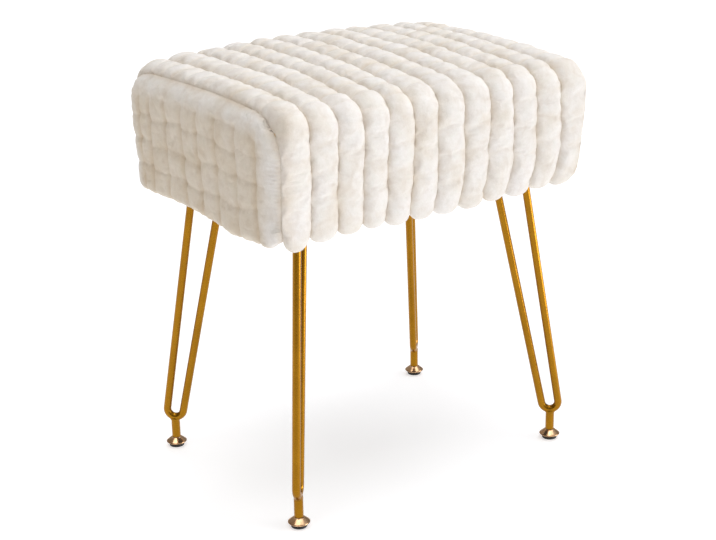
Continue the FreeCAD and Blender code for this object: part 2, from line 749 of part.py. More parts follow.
print("%d nodes" % len(NODES))
total = FreeCAD.BoundBox()
for name, obj in sorted(NODES.items()):
    shape = obj.Shape
    bb = shape.BoundBox
    total.add(bb)
    shape.exportStep(os.path.join("parts", name + ".step"))
    print("%-28s solids %2d  volume %10.1f  x %8.2f %8.2f  y %8.2f %8.2f  z %7.2f %7.2f"
          % (name, len(shape.Solids), shape.Volume, bb.XMin, bb.XMax, bb.YMin, bb.YMax,
             bb.ZMin, bb.ZMax))
print("whole: x %.2f %.2f  y %.2f %.2f  z %.2f %.2f"
      % (total.XMin, total.XMax, total.YMin, total.YMax, total.ZMin, total.ZMax))
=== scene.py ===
# Vanity stool: ribbed plush seat on four hairpin legs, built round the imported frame.
import json, math
import bpy
import bmesh
import numpy as np
from mathutils import Matrix, Vector

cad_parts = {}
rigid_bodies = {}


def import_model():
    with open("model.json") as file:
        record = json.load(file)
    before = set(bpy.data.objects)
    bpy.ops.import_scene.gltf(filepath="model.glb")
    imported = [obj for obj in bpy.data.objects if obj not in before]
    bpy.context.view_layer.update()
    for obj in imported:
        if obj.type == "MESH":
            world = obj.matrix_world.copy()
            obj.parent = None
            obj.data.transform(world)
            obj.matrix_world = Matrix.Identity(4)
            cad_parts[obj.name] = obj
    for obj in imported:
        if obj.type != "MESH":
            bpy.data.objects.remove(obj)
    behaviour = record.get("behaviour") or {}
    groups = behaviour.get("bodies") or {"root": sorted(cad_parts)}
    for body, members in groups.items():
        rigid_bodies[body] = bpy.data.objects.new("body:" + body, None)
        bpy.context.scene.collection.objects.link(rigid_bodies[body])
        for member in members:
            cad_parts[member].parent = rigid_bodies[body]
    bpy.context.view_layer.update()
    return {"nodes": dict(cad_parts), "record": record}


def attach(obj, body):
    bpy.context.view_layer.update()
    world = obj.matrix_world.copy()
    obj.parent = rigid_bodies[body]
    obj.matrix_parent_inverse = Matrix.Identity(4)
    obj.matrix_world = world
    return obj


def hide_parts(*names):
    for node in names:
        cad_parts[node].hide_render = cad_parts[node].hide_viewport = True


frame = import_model()
LEGS = {"front_left": (-1, -1), "front_right": (1, -1), "back_left": (-1, 1), "back_right": (1, 1)}


# ---------------------------------------------------------------- helpers
def _hash(ix, iy, iz, seed):
    with np.errstate(over="ignore"):
        h = (ix.astype(np.int64) * 374761393 + iy.astype(np.int64) * 668265263 + iz.astype(np.int64) * 1274126177 + seed * 974634777) & 0xFFFFFFFF
        h = h.astype(np.uint32)
        h ^= h >> np.uint32(15)
        h *= np.uint32(2246822519)
        h ^= h >> np.uint32(13)
        h *= np.uint32(3266489917)
        h ^= h >> np.uint32(16)
    return h.astype(np.float64) / 2147483648.0 - 1.0


def vnoise(p, scale, seed):
    """Smooth value noise in -1..1 at points p (n, 3), with features of about scale."""
    q = np.asarray(p, float) / scale + 0.137 * seed
    i = np.floor(q).astype(np.int64)
    f = q - i
    f = f * f * f * (f * (f * 6 - 15) + 10)
    out = 0.0
    for dx in (0, 1):
        for dy in (0, 1):
            for dz in (0, 1):
                w = (f[:, 0] if dx else 1 - f[:, 0]) * (f[:, 1] if dy else 1 - f[:, 1]) * (f[:, 2] if dz else 1 - f[:, 2])
                out = out + w * _hash(i[:, 0] + dx, i[:, 1] + dy, i[:, 2] + dz, seed)
    return out


def smooth01(t):
    t = np.clip(t, 0.0, 1.0)
    return t * t * (3 - 2 * t)


def grid_faces(rows, cols, flip=False, start=0):
    r, c = np.meshgrid(np.arange(rows - 1), np.arange(cols - 1), indexing="ij")
    a = (r * cols + c).ravel() + start
    quad = np.stack([a, a + 1, a + cols + 1, a + cols], 1)
    return quad[:, ::-1] if flip else quad


def mesh_object(name, points, faces, smooth=True):
    """points in millimetres, faces as a list of index tuples or an (n, 4) array."""
    me = bpy.data.meshes.new(name)
    me.from_pydata([tuple(p) for p in (np.asarray(points, float) * 0.001)], [], [tuple(int(k) for k in f) for f in faces])
    me.validate()
    me.update()
    ob = bpy.data.objects.new(name, me)
    bpy.context.scene.collection.objects.link(ob)
    if smooth:
        me.polygons.foreach_set("use_smooth", [True] * len(me.polygons))
    return ob


def set_material(ob, mat):
    ob.data.materials.clear()
    ob.data.materials.append(mat)


# ---------------------------------------------------------------- materials
def new_material(name):
    mat = bpy.data.materials.new(name)
    mat.use_nodes = True
    nt = mat.node_tree
    nt.nodes.clear()
    out = nt.nodes.new("ShaderNodeOutputMaterial")
    bsdf = nt.nodes.new("ShaderNodeBsdfPrincipled")
    nt.links.new(bsdf.outputs["BSDF"], out.inputs["Surface"])
    tc = nt.nodes.new("ShaderNodeTexCoord")
    return mat, nt, bsdf, tc.outputs["Object"]


def noise_node(nt, vec, scale, detail=3.0, rough=0.5, distortion=0.0):
    n = nt.nodes.new("ShaderNodeTexNoise")
    n.inputs["Scale"].default_value = scale
    n.inputs["Detail"].default_value = detail
    n.inputs["Roughness"].default_value = rough
    n.inputs["Distortion"].default_value = distortion
    nt.links.new(vec, n.inputs["Vector"])
    return n.outputs["Fac"]


def ramp_node(nt, fac, stops):
    r = nt.nodes.new("ShaderNodeValToRGB")
    el = r.color_ramp.elements
    while len(el) < len(stops):
        el.new(0.5)
    for e, (p, c) in zip(el, stops):
        e.position = p
        e.color = (*c, 1.0) if len(c) == 3 else c
    nt.links.new(fac, r.inputs["Fac"])
    return r.outputs["Color"]


def mix_color(nt, a, b, fac, blend="MIX"):
    m = nt.nodes.new("ShaderNodeMix")
    m.data_type = "RGBA"
    m.blend_type = blend
    for sock, v in ((m.inputs["Factor"], fac), (m.inputs[6], a), (m.inputs[7], b)):
        if hasattr(v, "is_output") or isinstance(v, bpy.types.NodeSocket):
            nt.links.new(v, sock)
        elif isinstance(v, (int, float)):
            sock.default_value = v
        else:
            sock.default_value = (*v, 1.0)
    return m.outputs[2]


def math_node(nt, op, a, b=None):
    m = nt.nodes.new("ShaderNodeMath")
    m.operation = op
    for sock, v in zip(m.inputs, (a, b)):
        if v is None:
            continue
        if isinstance(v, bpy.types.NodeSocket):
            nt.links.new(v, sock)
        else:
            sock.default_value = v
    return m.outputs[0]


def bump_node(nt, height, strength, distance, normal=None):
    b = nt.nodes.new("ShaderNodeBump")
    b.inputs["Strength"].default_value = strength
    b.inputs["Distance"].default_value = distance
    nt.links.new(height, b.inputs["Height"])
    if normal is not None:
        nt.links.new(normal, b.inputs["Normal"])
    return b.outputs["Normal"]


def mapping(nt, vec, scale=(1, 1, 1), rot=(0, 0, 0)):
    m = nt.nodes.new("ShaderNodeMapping")
    m.inputs["Scale"].default_value = scale
    m.inputs["Rotation"].default_value = rot
    nt.links.new(vec, m.inputs["Vector"])
    return m.outputs["Vector"]


def make_plush(name, end_shade_tint):
    """Cream plush with the cloudy light and dark patches of its brushed pile. The tint passed in is painted shade: it
    darkens and warms the whole tone, for the shaded copy used on the ends.
    """
    mat, nt, b, vec = new_material(name)
    broad = ramp_node(nt, noise_node(nt, vec, 26.0, 2.0, 0.55), [(0.30, (0.870, 0.810, 0.735)), (0.50, (0.922, 0.886, 0.845)), (0.72, (0.935, 0.905, 0.885))])
    patch = ramp_node(nt, noise_node(nt, vec, 62.0, 2.0, 0.5, 0.6), [(0.30, (0.925, 0.905, 0.880)), (0.50, (1.0, 1.0, 1.0)), (0.72, (0.985, 1.0, 0.995))])
    broad = mix_color(nt, broad, patch, 0.9, "MULTIPLY")
    # painted light: near the end seams the painted shade of the ends is taken off, so the rolled border of each end
    # panel looks lit from above
    roll_light_paint = nt.nodes.new("ShaderNodeAttribute")
    roll_light_paint.attribute_name = "roll_light_paint"
    broad = mix_color(nt, broad, end_shade_tint, math_node(nt, "SUBTRACT", 1.0, math_node(nt, "MULTIPLY", roll_light_paint.outputs["Fac"], 0.95)), "MULTIPLY")
    clump = ramp_node(nt, noise_node(nt, vec, 150.0, 3.0, 0.6), [(0.32, (0.945, 0.935, 0.915)), (0.60, (1.0, 1.0, 1.0))])
    pile = ramp_node(nt, noise_node(nt, mapping(nt, vec, (1.0, 1.0, 0.6)), 900.0, 2.0, 0.7), [(0.30, (0.95, 0.945, 0.935)), (0.62, (1.0, 1.0, 1.0))])
    col = mix_color(nt, broad, clump, 0.8, "MULTIPLY")
    col = mix_color(nt, col, pile, 0.8, "MULTIPLY")
    # painted shade: the per-point mark darkens and browns the plush in the grooves, creases and seams, where shade
    # falls
    crease_shade_paint = nt.nodes.new("ShaderNodeAttribute")
    crease_shade_paint.attribute_name = "crease_shade_paint"
    col = mix_color(nt, col, (0.80, 0.70, 0.57), math_node(nt, "MULTIPLY", crease_shade_paint.outputs["Fac"], 0.50), "MULTIPLY")
    nt.links.new(col, b.inputs["Base Color"])
    b.inputs["Roughness"].default_value = 0.92
    b.inputs["Specular IOR Level"].default_value = 0.15
    b.inputs["Sheen Weight"].default_value = 0.30
    b.inputs["Sheen Roughness"].default_value = 0.45
    b.inputs["Sheen Tint"].default_value = (1.0, 0.97, 0.93, 1.0)
    n1 = bump_node(nt, noise_node(nt, vec, 180.0, 3.0, 0.6), 0.45, 0.0016)
    n2 = bump_node(nt, noise_node(nt, vec, 850.0, 3.0, 0.7), 0.35, 0.0007, n1)
    nt.links.new(n2, b.inputs["Normal"])
    return mat


def make_gold_paint():
    mat, nt, b, vec = new_material("gold_paint")
    tone = ramp_node(nt, noise_node(nt, vec, 35.0, 3.0, 0.55), [(0.30, (0.33, 0.145, 0.002)), (0.55, (0.37, 0.166, 0.003)), (0.78, (0.41, 0.190, 0.004))])
    fleck = ramp_node(nt, noise_node(nt, vec, 2600.0, 2.0, 0.6), [(0.30, (0.95, 0.94, 0.91)), (0.60, (1.0, 1.0, 1.0))])
    nt.links.new(mix_color(nt, tone, fleck, 0.7, "MULTIPLY"), b.inputs["Base Color"])
    b.inputs["Metallic"].default_value = 0.85
    rough = nt.nodes.new("ShaderNodeMapRange")
    rough.inputs["To Min"].default_value = 0.22
    rough.inputs["To Max"].default_value = 0.33
    nt.links.new(noise_node(nt, vec, 260.0, 3.0, 0.6), rough.inputs["Value"])
    nt.links.new(rough.outputs["Result"], b.inputs["Roughness"])
    b.inputs["Coat Weight"].default_value = 0.05
    b.inputs["Coat Roughness"].default_value = 0.12
    n = bump_node(nt, noise_node(nt, vec, 300.0, 2.0, 0.5), 0.04, 0.0003)
    nt.links.new(n, b.inputs["Normal"])
    return mat


def make_polished_brass():
    mat, nt, b, vec = new_material("polished_brass")
    tone = ramp_node(nt, noise_node(nt, vec, 240.0, 2.0, 0.5), [(0.3, (0.60, 0.37, 0.20)), (0.7, (0.70, 0.46, 0.27))])
    nt.links.new(tone, b.inputs["Base Color"])
    b.inputs["Metallic"].default_value = 1.0
    rough = nt.nodes.new("ShaderNodeMapRange")
    rough.inputs["To Min"].default_value = 0.16
    rough.inputs["To Max"].default_value = 0.25
    nt.links.new(noise_node(nt, vec, 1500.0, 3.0, 0.6), rough.inputs["Value"])
    nt.links.new(rough.outputs["Result"], b.inputs["Roughness"])
    n = bump_node(nt, noise_node(nt, mapping(nt, vec, (1, 1, 8)), 900.0, 2.0, 0.5), 0.05, 0.0002)
    nt.links.new(n, b.inputs["Normal"])
    return mat


def make_zinc():
    mat, nt, b, vec = new_material("zinc_steel")
    tone = ramp_node(nt, noise_node(nt, vec, 420.0, 4.0, 0.65), [(0.30, (0.50, 0.50, 0.47)), (0.52, (0.62, 0.62, 0.60)), (0.75, (0.72, 0.71, 0.66))])
    nt.links.new(tone, b.inputs["Base Color"])
    b.inputs["Metallic"].default_value = 1.0
    rough = nt.nodes.new("ShaderNodeMapRange")
    rough.inputs["To Min"].default_value = 0.22
    rough.inputs["To Max"].default_value = 0.42
    nt.links.new(noise_node(nt, vec, 1300.0, 3.0, 0.6), rough.inputs["Value"])
    nt.links.new(rough.outputs["Result"], b.inputs["Roughness"])
    nt.links.new(bump_node(nt, noise_node(nt, vec, 2200.0, 2.0, 0.5), 0.10, 0.0002), b.inputs["Normal"])
    return mat


def make_sole():
    mat, nt, b, vec = new_material("black_sole")
    tone = ramp_node(nt, noise_node(nt, vec, 900.0, 4.0, 0.6), [(0.3, (0.012, 0.012, 0.013)), (0.7, (0.030, 0.030, 0.032))])
    nt.links.new(tone, b.inputs["Base Color"])
    b.inputs["Roughness"].default_value = 0.55
    nt.links.new(bump_node(nt, noise_node(nt, vec, 2400.0, 3.0, 0.6), 0.25, 0.0003), b.inputs["Normal"])
    return mat


def make_plywood():
    mat, nt, b, vec = new_material("plywood")
    sep = nt.nodes.new("ShaderNodeSeparateXYZ")
    nt.links.new(vec, sep.inputs[0])
    grain = noise_node(nt, mapping(nt, vec, (1.2, 22.0, 22.0)), 14.0, 5.0, 0.6, 0.4)
    ply = math_node(nt, "FRACT", math_node(nt, "MULTIPLY", math_node(nt, "ADD", sep.outputs["Z"], 0.0), 666.0))
    band = ramp_node(nt, ply, [(0.45, (1.0, 1.0, 1.0)), (0.55, (0.74, 0.66, 0.58))])
    tone = ramp_node(nt, grain, [(0.30, (0.50, 0.33, 0.17)), (0.52, (0.68, 0.50, 0.30)), (0.75, (0.78, 0.61, 0.40))])
    nt.links.new(mix_color(nt, tone, band, 0.45, "MULTIPLY"), b.inputs["Base Color"])
    b.inputs["Roughness"].default_value = 0.72
    nt.links.new(bump_node(nt, grain, 0.35, 0.0005), b.inputs["Normal"])
    return mat


def make_softwood():
    mat, nt, b, vec = new_material("softwood")
    w = nt.nodes.new("ShaderNodeTexWave")
    w.wave_type = "RINGS"
    w.inputs["Scale"].default_value = 55.0
    w.inputs["Distortion"].default_value = 4.0
    w.inputs["Detail"].default_value = 3.0
    w.inputs["Detail Scale"].default_value = 1.5
    nt.links.new(mapping(nt, vec, (1.0, 1.0, 0.12)), w.inputs["Vector"])
    tone = ramp_node(nt, w.outputs["Fac"], [(0.15, (0.80, 0.63, 0.40)), (0.70, (0.72, 0.52, 0.29)), (0.95, (0.52, 0.33, 0.16))])
    nt.links.new(tone, b.inputs["Base Color"])
    b.inputs["Roughness"].default_value = 0.75
    nt.links.new(bump_node(nt, w.outputs["Fac"], 0.25, 0.0004), b.inputs["Normal"])
    return mat


def make_nonwoven():
    mat, nt, b, vec = new_material("nonwoven_black")
    fibres = noise_node(nt, mapping(nt, vec, (1.0, 0.35, 1.0)), 700.0, 6.0, 0.75, 1.2)
    v = nt.nodes.new("ShaderNodeTexVoronoi")
    v.inputs["Scale"].default_value = 620.0
    v.inputs["Randomness"].default_value = 0.25
    nt.links.new(vec, v.inputs["Vector"])
    dots = ramp_node(nt, v.outputs["Distance"], [(0.10, (0.0, 0.0, 0.0)), (0.32, (1.0, 1.0, 1.0))])
    tone = ramp_node(nt, fibres, [(0.32, (0.018, 0.018, 0.020)), (0.55, (0.034, 0.034, 0.037)), (0.78, (0.060, 0.060, 0.064))])
    nt.links.new(mix_color(nt, tone, dots, 0.35, "MULTIPLY"), b.inputs["Base Color"])
    b.inputs["Roughness"].default_value = 0.88
    b.inputs["Sheen Weight"].default_value = 0.15
    n1 = bump_node(nt, dots, 0.30, 0.0003)
    nt.links.new(bump_node(nt, fibres, 0.35, 0.0004, n1), b.inputs["Normal"])
    return mat


def make_foam():
    mat, nt, b, vec = new_material("foam_pale")
    v = nt.nodes.new("ShaderNodeTexVoronoi")
    v.inputs["Scale"].default_value = 480.0
    nt.links.new(vec, v.inputs["Vector"])
    cells = ramp_node(nt, v.outputs["Distance"], [(0.05, (0.70, 0.62, 0.42)), (0.45, (1.0, 1.0, 1.0))])
    tone = ramp_node(nt, noise_node(nt, vec, 30.0, 3.0, 0.5), [(0.3, (0.84, 0.77, 0.55)), (0.7, (0.90, 0.85, 0.66))])
    nt.links.new(mix_color(nt, tone, cells, 0.6, "MULTIPLY"), b.inputs["Base Color"])
    b.inputs["Roughness"].default_value = 0.95
    nt.links.new(bump_node(nt, v.outputs["Distance"], 0.5, 0.0008), b.inputs["Normal"])
    return mat


MAT = {
    "plush": make_plush("plush_cream", (1.0, 1.0, 1.0)),
    "gold_paint": make_gold_paint(),
    "polished_brass": make_polished_brass(),
    "zinc_steel": make_zinc(),
    "black_sole": make_sole(),
    "plywood": make_plywood(),
    "softwood": make_softwood(),
    "nonwoven": make_nonwoven(),
    "foam": make_foam(),
}
# the end panels get a shaded copy of the plush: painted shade, darker and warmer all over
PLUSH_SHADED_ENDS = make_plush("plush_cream_ends_painted_shade", (0.860, 0.800, 0.705))

for part in frame["record"]["subparts"]:
    ob = frame["nodes"].get(part["node"])
    if ob is not None:
        set_material(ob, MAT[part["material_slot"]])


# ---------------------------------------------------------------- seat form (millimetres)
FACE_Y = 149.3
SHOULDER = 28.0
Z_LOW = 313.0
EDGE_Z = 454.6
END_X = {-1: 198.0, 1: 206.0}
SEAMS_FRONT = np.array([-198.0, -163.0, -130.0, -98.3, -67.0, -34.9, -1.3, 33.3, 67.7, 101.8, 135.8, 171.2, 206.0])
SEAMS_BACK = np.array([-198.0, -166.0, -129.0, -96.0, -63.5, -30.5, 3.0, 36.0, 71.0, 106.0, 143.0, 177.0, 206.0])
SEAM_PULL = np.array([0.0, 1.0, 0.0, 0.0, 2.5, 2.0, 4.5, 5.0, 5.5, 5.5, 6.0, 8.5, 0.0])
RIB_LOW = np.array([-8.0, -3.4, -2.1, -1.2, -3.4, -3.0, -3.0, -3.0, -0.2, -0.6, 1.8, 1.0])


def tilt(x, y, z):
    """How far the stuffing lifts a point: the back edge stands a little higher than the front."""
    lift = 2.5 + (3.5 + 2.5 * smooth01((x - 60.0) / 140.0)) * (y / 150.0) + 2.5 * (x / 212.0)
    return lift * np.clip((z - Z_LOW) / (470.0 - Z_LOW), 0.0, 1.2)


def crown(x, y):
    """The crown of the seat: the back edge is bowed up, the front edge sat nearly straight."""
    bow = 1 - np.clip((115.0 - y) / 238.0, 0, 1) ** 1.35
    return 11.5 * (1 - (x / 212.0) ** 2) * bow + 3.6 * (1 - (y / FACE_Y) ** 2) - 2.6 * smooth01((-y - 20.0) / 110.0)


def spline(points, n):
    """n points of a Catmull-Rom curve through points, evenly spaced along it."""
    p = np.asarray(points, float)
    p = np.vstack([2 * p[0] - p[1], p, 2 * p[-1] - p[-2]])
    t = np.linspace(0, 1, 24, endpoint=False)[:, None]
    out = []
    for a, b, c, d in zip(p[:-3], p[1:-2], p[2:-1], p[3:]):
        out.append(0.5 * (2 * b + (c - a) * t + (2 * a - 5 * b + 4 * c - d) * t ** 2 + (3 * b - a - 3 * c + d) * t ** 3))
    out = np.vstack(out + [p[-2][None]])
    return even(out, n)


def even(line, n):
    d = np.concatenate([[0], np.cumsum(np.linalg.norm(np.diff(line, axis=0), axis=1))])
    s = np.linspace(0, d[-1], n)
    return np.stack([np.interp(s, d, line[:, k]) for k in range(line.shape[1])], 1)


def half_section():
    """One side of the seat's section, (distance from the middle, height) from the hem up to the middle of the top, before the crown is added."""
    lean = lambda z: FACE_Y - 4.3 * np.clip((EDGE_Z - SHOULDER - z) / (EDGE_Z - SHOULDER - Z_LOW), 0, 1)
    hem = spline([(118.5, 321.0), (124.0, 320.7), (129.0, 318.6), (133.5, 315.0), (138.5, 313.1), (142.8, 315.6), (145.0, 321.0), (lean(330.0), 330.0)], 60)
    z = np.linspace(330.0, EDGE_Z - SHOULDER, 40)[1:]
    face = np.stack([lean(z), z], 1)
    a = np.linspace(0, math.pi / 2, 40)[1:]
    arc = np.stack([FACE_Y - SHOULDER * (1 - np.cos(a)), EDGE_Z - SHOULDER + SHOULDER * np.sin(a)], 1)
    y = np.linspace(FACE_Y - SHOULDER, 0.0, 50)[1:]
    top = np.stack([y, np.full_like(y, EDGE_Z)], 1)
    return np.vstack([hem, face, arc, top])


HALF = half_section()
SECTION = np.vstack([np.stack([-HALF[:, 0], HALF[:, 1]], 1), np.stack([HALF[:, 0], HALF[:, 1]], 1)[::-1][1:]])
ROWS = 481
SECTION = even(SECTION, ROWS)
SEC_S = np.concatenate([[0], np.cumsum(np.linalg.norm(np.diff(SECTION, axis=0), axis=1))])
SEC_LEN = SEC_S[-1]
_t = np.gradient(SECTION, axis=0)
_t /= np.linalg.norm(_t, axis=1)[:, None]
SEC_N = np.stack([-_t[:, 1], _t[:, 0]], 1)   # outward: front face points to -Y, top to +Z
# where the section's named places are, along it
S_LOW = SEC_S[np.argmin(np.where(SECTION[:, 0] < 0, SECTION[:, 1], 1e9))]
S_330 = SEC_S[np.argmin(np.abs(SECTION[:, 1] - 330.0) + np.where(SECTION[:, 0] < 0, 0, 1e9))]
S_FACE_END = SEC_S[np.argmin(np.abs(SECTION[:, 1] - (EDGE_Z - SHOULDER)) + np.where(SECTION[:, 0] < 0, 0, 1e9))]
SEC_M = np.minimum(SEC_S, SEC_LEN - SEC_S)             # distance from the nearer hem
SEC_Z = np.where(SEC_M < S_LOW, Z_LOW, SECTION[:, 1])  # height, held at its lowest under the seat


def zone_along(m):
    """(groove depth, crease depth) at distance m from the nearer hem."""
    top = smooth01((m - (S_FACE_END + 18.0)) / 36.0)
    groove = 0.6 + (6.8 + 2.4 * smooth01((m - S_FACE_END + 20.0) / 60.0)) * smooth01(m / 32.0)
    crease = 0.25 + 0.95 * smooth01((m - 16.0) / 26.0)
    return groove, crease * (1 - top) + 4.0 * top, top


def end_pull(sign, z):
    if sign < 0:
        return 2.5 * smooth01((340.0 - z) / 27.0)
    return np.interp(z, [308, 313, 318, 327.5, 339, 360, 400], [19.0, 17.0, 13.5, 8.5, 5.5, 2.8, 0.0])


def end_inset(sign):
    """How deep the end seam lies under the envelope, for every row of the section."""
    face, top = (4.5, 9.0) if sign < 0 else (3.0, 7.0)
    front, back = (10.5, 4.0) if sign < 0 else (2.0, 3.0)
    a = np.clip((SEC_M - S_FACE_END) / (SHOULDER * math.pi / 2), 0, 1)
    bump = np.where(SECTION[:, 0] < 0, front, back)
    out = face + (top - face) * smooth01(a) + bump * np.sin(math.pi * a) ** 1.2
    a2 = np.clip((SEC_M - S_FACE_END + 26.0) / (SHOULDER * math.pi / 2 + 44.0), 0, 1)
    if sign < 0:
        out = face + (top - face) * smooth01(a) + bump * np.sin(math.pi * a2) ** 1.6
    return out * smooth01((SEC_M + 14.0) / 40.0) + 0.3


def rib_cells(seed):
    """For each rib: where its bubbles meet along the section, how deep, how slanted and how bowed each meeting is."""
    rng = np.random.default_rng(seed)
    out = []
    for i in range(12):
        s = S_LOW + 2.0 + rng.uniform(0, 7.0) + (11.5 if i % 2 else 0.0)
        at = [s - 23.0]
        while s < SEC_LEN - S_LOW + 26:
            at.append(s)
            m = min(s, SEC_LEN - s)
            s += rng.normal(29.0 - 5.2 * float(smooth01((m - S_FACE_END + 10.0) / 50.0)), 1.7)
        n = len(at)
        out.append((np.array(at), rng.uniform(0.65, 1.3, n), rng.uniform(-3.2, 3.2, n), rng.uniform(-2.0, 2.6, n)))
    return out


CELLS_ALONG = rib_cells(11)


def rib_profile(u, power=2.3):
    return np.sqrt(np.clip(1 - np.abs(u) ** power, 0, 1))


def bubble_depth(i, s, u):
    """How far the surface of rib i falls towards the meetings of its bubbles, 0 to about 1, and the meeting line itself."""
    at, how, slant, bow = CELLS_ALONG[i]
    best = np.full(np.broadcast(s, u).shape, 1e9)
    share = np.ones_like(best)
    for a, h, sl, bw in zip(at, how, slant, bow):
        d = np.abs(s - a - sl * u - bw * u * u)
        share = np.where(d < best, h, share)
        best = np.minimum(best, d)
    t = 1 - np.clip(best / 12.2, 0, 1)
    round_dip = 1 - np.sqrt(np.clip(1 - t ** 2.5, 0, 1))
    return share * round_dip, share * np.exp(-(best / 2.2) ** 2), share * np.exp(-0.5 * (best / 4.4) ** 2)


def swell(name, grid, hold, frames=14, pressure=2.2, grow=0.035, cap=2.6):
    """Cloth, held where hold is 1, swells between its sewn lines; no point moves further than cap. grid is (rows, cols, 3) in millimetres."""
    rows, cols = grid.shape[:2]
    flat = grid.reshape(-1, 3)
    ob = mesh_object(name, flat, grid_faces(rows, cols))
    held = ob.vertex_groups.new(name="held")
    level = np.round(np.clip(hold.ravel(), 0, 1), 1)
    for w in np.unique(level):
        if w > 0:
            held.add([int(k) for k in np.nonzero(level == w)[0]], float(w), "REPLACE")
    md = ob.modifiers.new("swell", "CLOTH")
    cs = md.settings
    cs.quality = 4
    cs.mass = 0.25
    cs.tension_stiffness = cs.compression_stiffness = 12.0
    cs.shear_stiffness = 4.0
    cs.bending_stiffness = 0.4
    cs.tension_damping = cs.compression_damping = 8.0
    cs.vertex_group_mass = "held"
    cs.pin_stiffness = 1.0
    cs.use_pressure = True
    cs.uniform_pressure_force = pressure
    cs.shrink_min = -grow
    cs.effector_weights.gravity = 0.0
    md.collision_settings.use_collision = False
    md.collision_settings.use_self_collision = False
    md.point_cache.frame_start, md.point_cache.frame_end = 1, frames
    scene = bpy.context.scene
    for f in range(1, frames + 1):
        scene.frame_set(f)
    done = ob.evaluated_get(bpy.context.evaluated_depsgraph_get())
    co = np.empty(len(flat) * 3)
    done.data.vertices.foreach_get("co", co)
    scene.frame_set(1)
    me = ob.data
    bpy.data.objects.remove(ob)
    bpy.data.meshes.remove(me)
    move = co.reshape(-1, 3) * 1000.0 - flat
    far = np.linalg.norm(move, axis=1)
    far[far == 0] = 1
    move *= (cap * np.tanh(far / cap) / far)[:, None]
    return move.reshape(grid.shape)


def grid_normals(g):
    du, dv = np.gradient(g, axis=1), np.gradient(g, axis=0)
    n = np.cross(du, dv)
    return n / (np.linalg.norm(n, axis=2)[..., None] + 1e-12)


def loop_of(rows, cols, start=0, step_r=1, step_c=1):
    """The border of a grid as a closed ring of its vertex numbers, every step_r rows and step_c columns."""
    rr, cc = range(0, rows, step_r), range(0, cols, step_c)
    ring = [(0, c) for c in cc] + [(r, cols - 1) for r in rr][1:] + [(rows - 1, c) for c in cc][::-1][1:] + [(r, 0) for r in rr][::-1][1:-1]
    return [start + r * cols + c for r, c in ring]


def closed_cover(name, outer, lining, step_r, step_c, crease_shade_paint, mat, roll_light_paint=None):
    """A closed padded form: the outer skin (rows, cols, 3), a plainer lining of every step-th row and column behind it, and the edge that joins them."""
    rows, cols = outer.shape[:2]
    inner = lining[::step_r, ::step_c]
    ir, ic = inner.shape[:2]
    start = rows * cols
    faces = [tuple(f) for f in grid_faces(rows, cols)] + [tuple(f) for f in grid_faces(ir, ic, True, start)]
    big = loop_of(rows, cols)
    small = loop_of(ir, ic, start)
    # how many outer edges belong to each inner one, in ring order
    counts = [step_c] * (ic - 1) + [step_r] * (ir - 1) + [step_c] * (ic - 1) + [step_r] * (ir - 1)
    at = 0
    for k, n in enumerate(counts):
        here, following = small[k], small[(k + 1) % len(small)]
        for t in range(n):
            faces.append((big[(at + t + 1) % len(big)], big[(at + t) % len(big)], here))
        at += n
        faces.append((big[at % len(big)], here, following))
    ob = mesh_object(name, np.vstack([outer.reshape(-1, 3), inner.reshape(-1, 3)]), faces)
    # painted shade in the grooves, creases and seams, per point; the hidden lining is marked fully shaded
    layer = ob.data.attributes.new("crease_shade_paint", "FLOAT", "POINT")
    layer.data.foreach_set("value", np.concatenate([crease_shade_paint.ravel(), np.ones(ir * ic)]).astype(np.float32))
    # painted light for the rolled border of the end panels, per point; the band and the lining get none
    layer = ob.data.attributes.new("roll_light_paint", "FLOAT", "POINT")
    layer.data.foreach_set("value", np.concatenate([np.zeros(rows * cols) if roll_light_paint is None else roll_light_paint.ravel(), np.zeros(ir * ic)]).astype(np.float32))
    set_material(ob, mat)
    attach(ob, "stool")
    return ob


def pile(points, normals, amount, seed):
    """The plush's own lumps: tufts of pile lean together in clumps."""
    p = points.reshape(-1, 3)
    n = 0.55 * vnoise(p, 11.0, seed) + 0.40 * vnoise(p, 5.2, seed + 1) + 0.22 * vnoise(p, 2.7, seed + 2)
    return points + normals * (n.reshape(points.shape[:2]) * amount)[..., None]


# ---------------------------------------------------------------- cover band
CELLS = 14


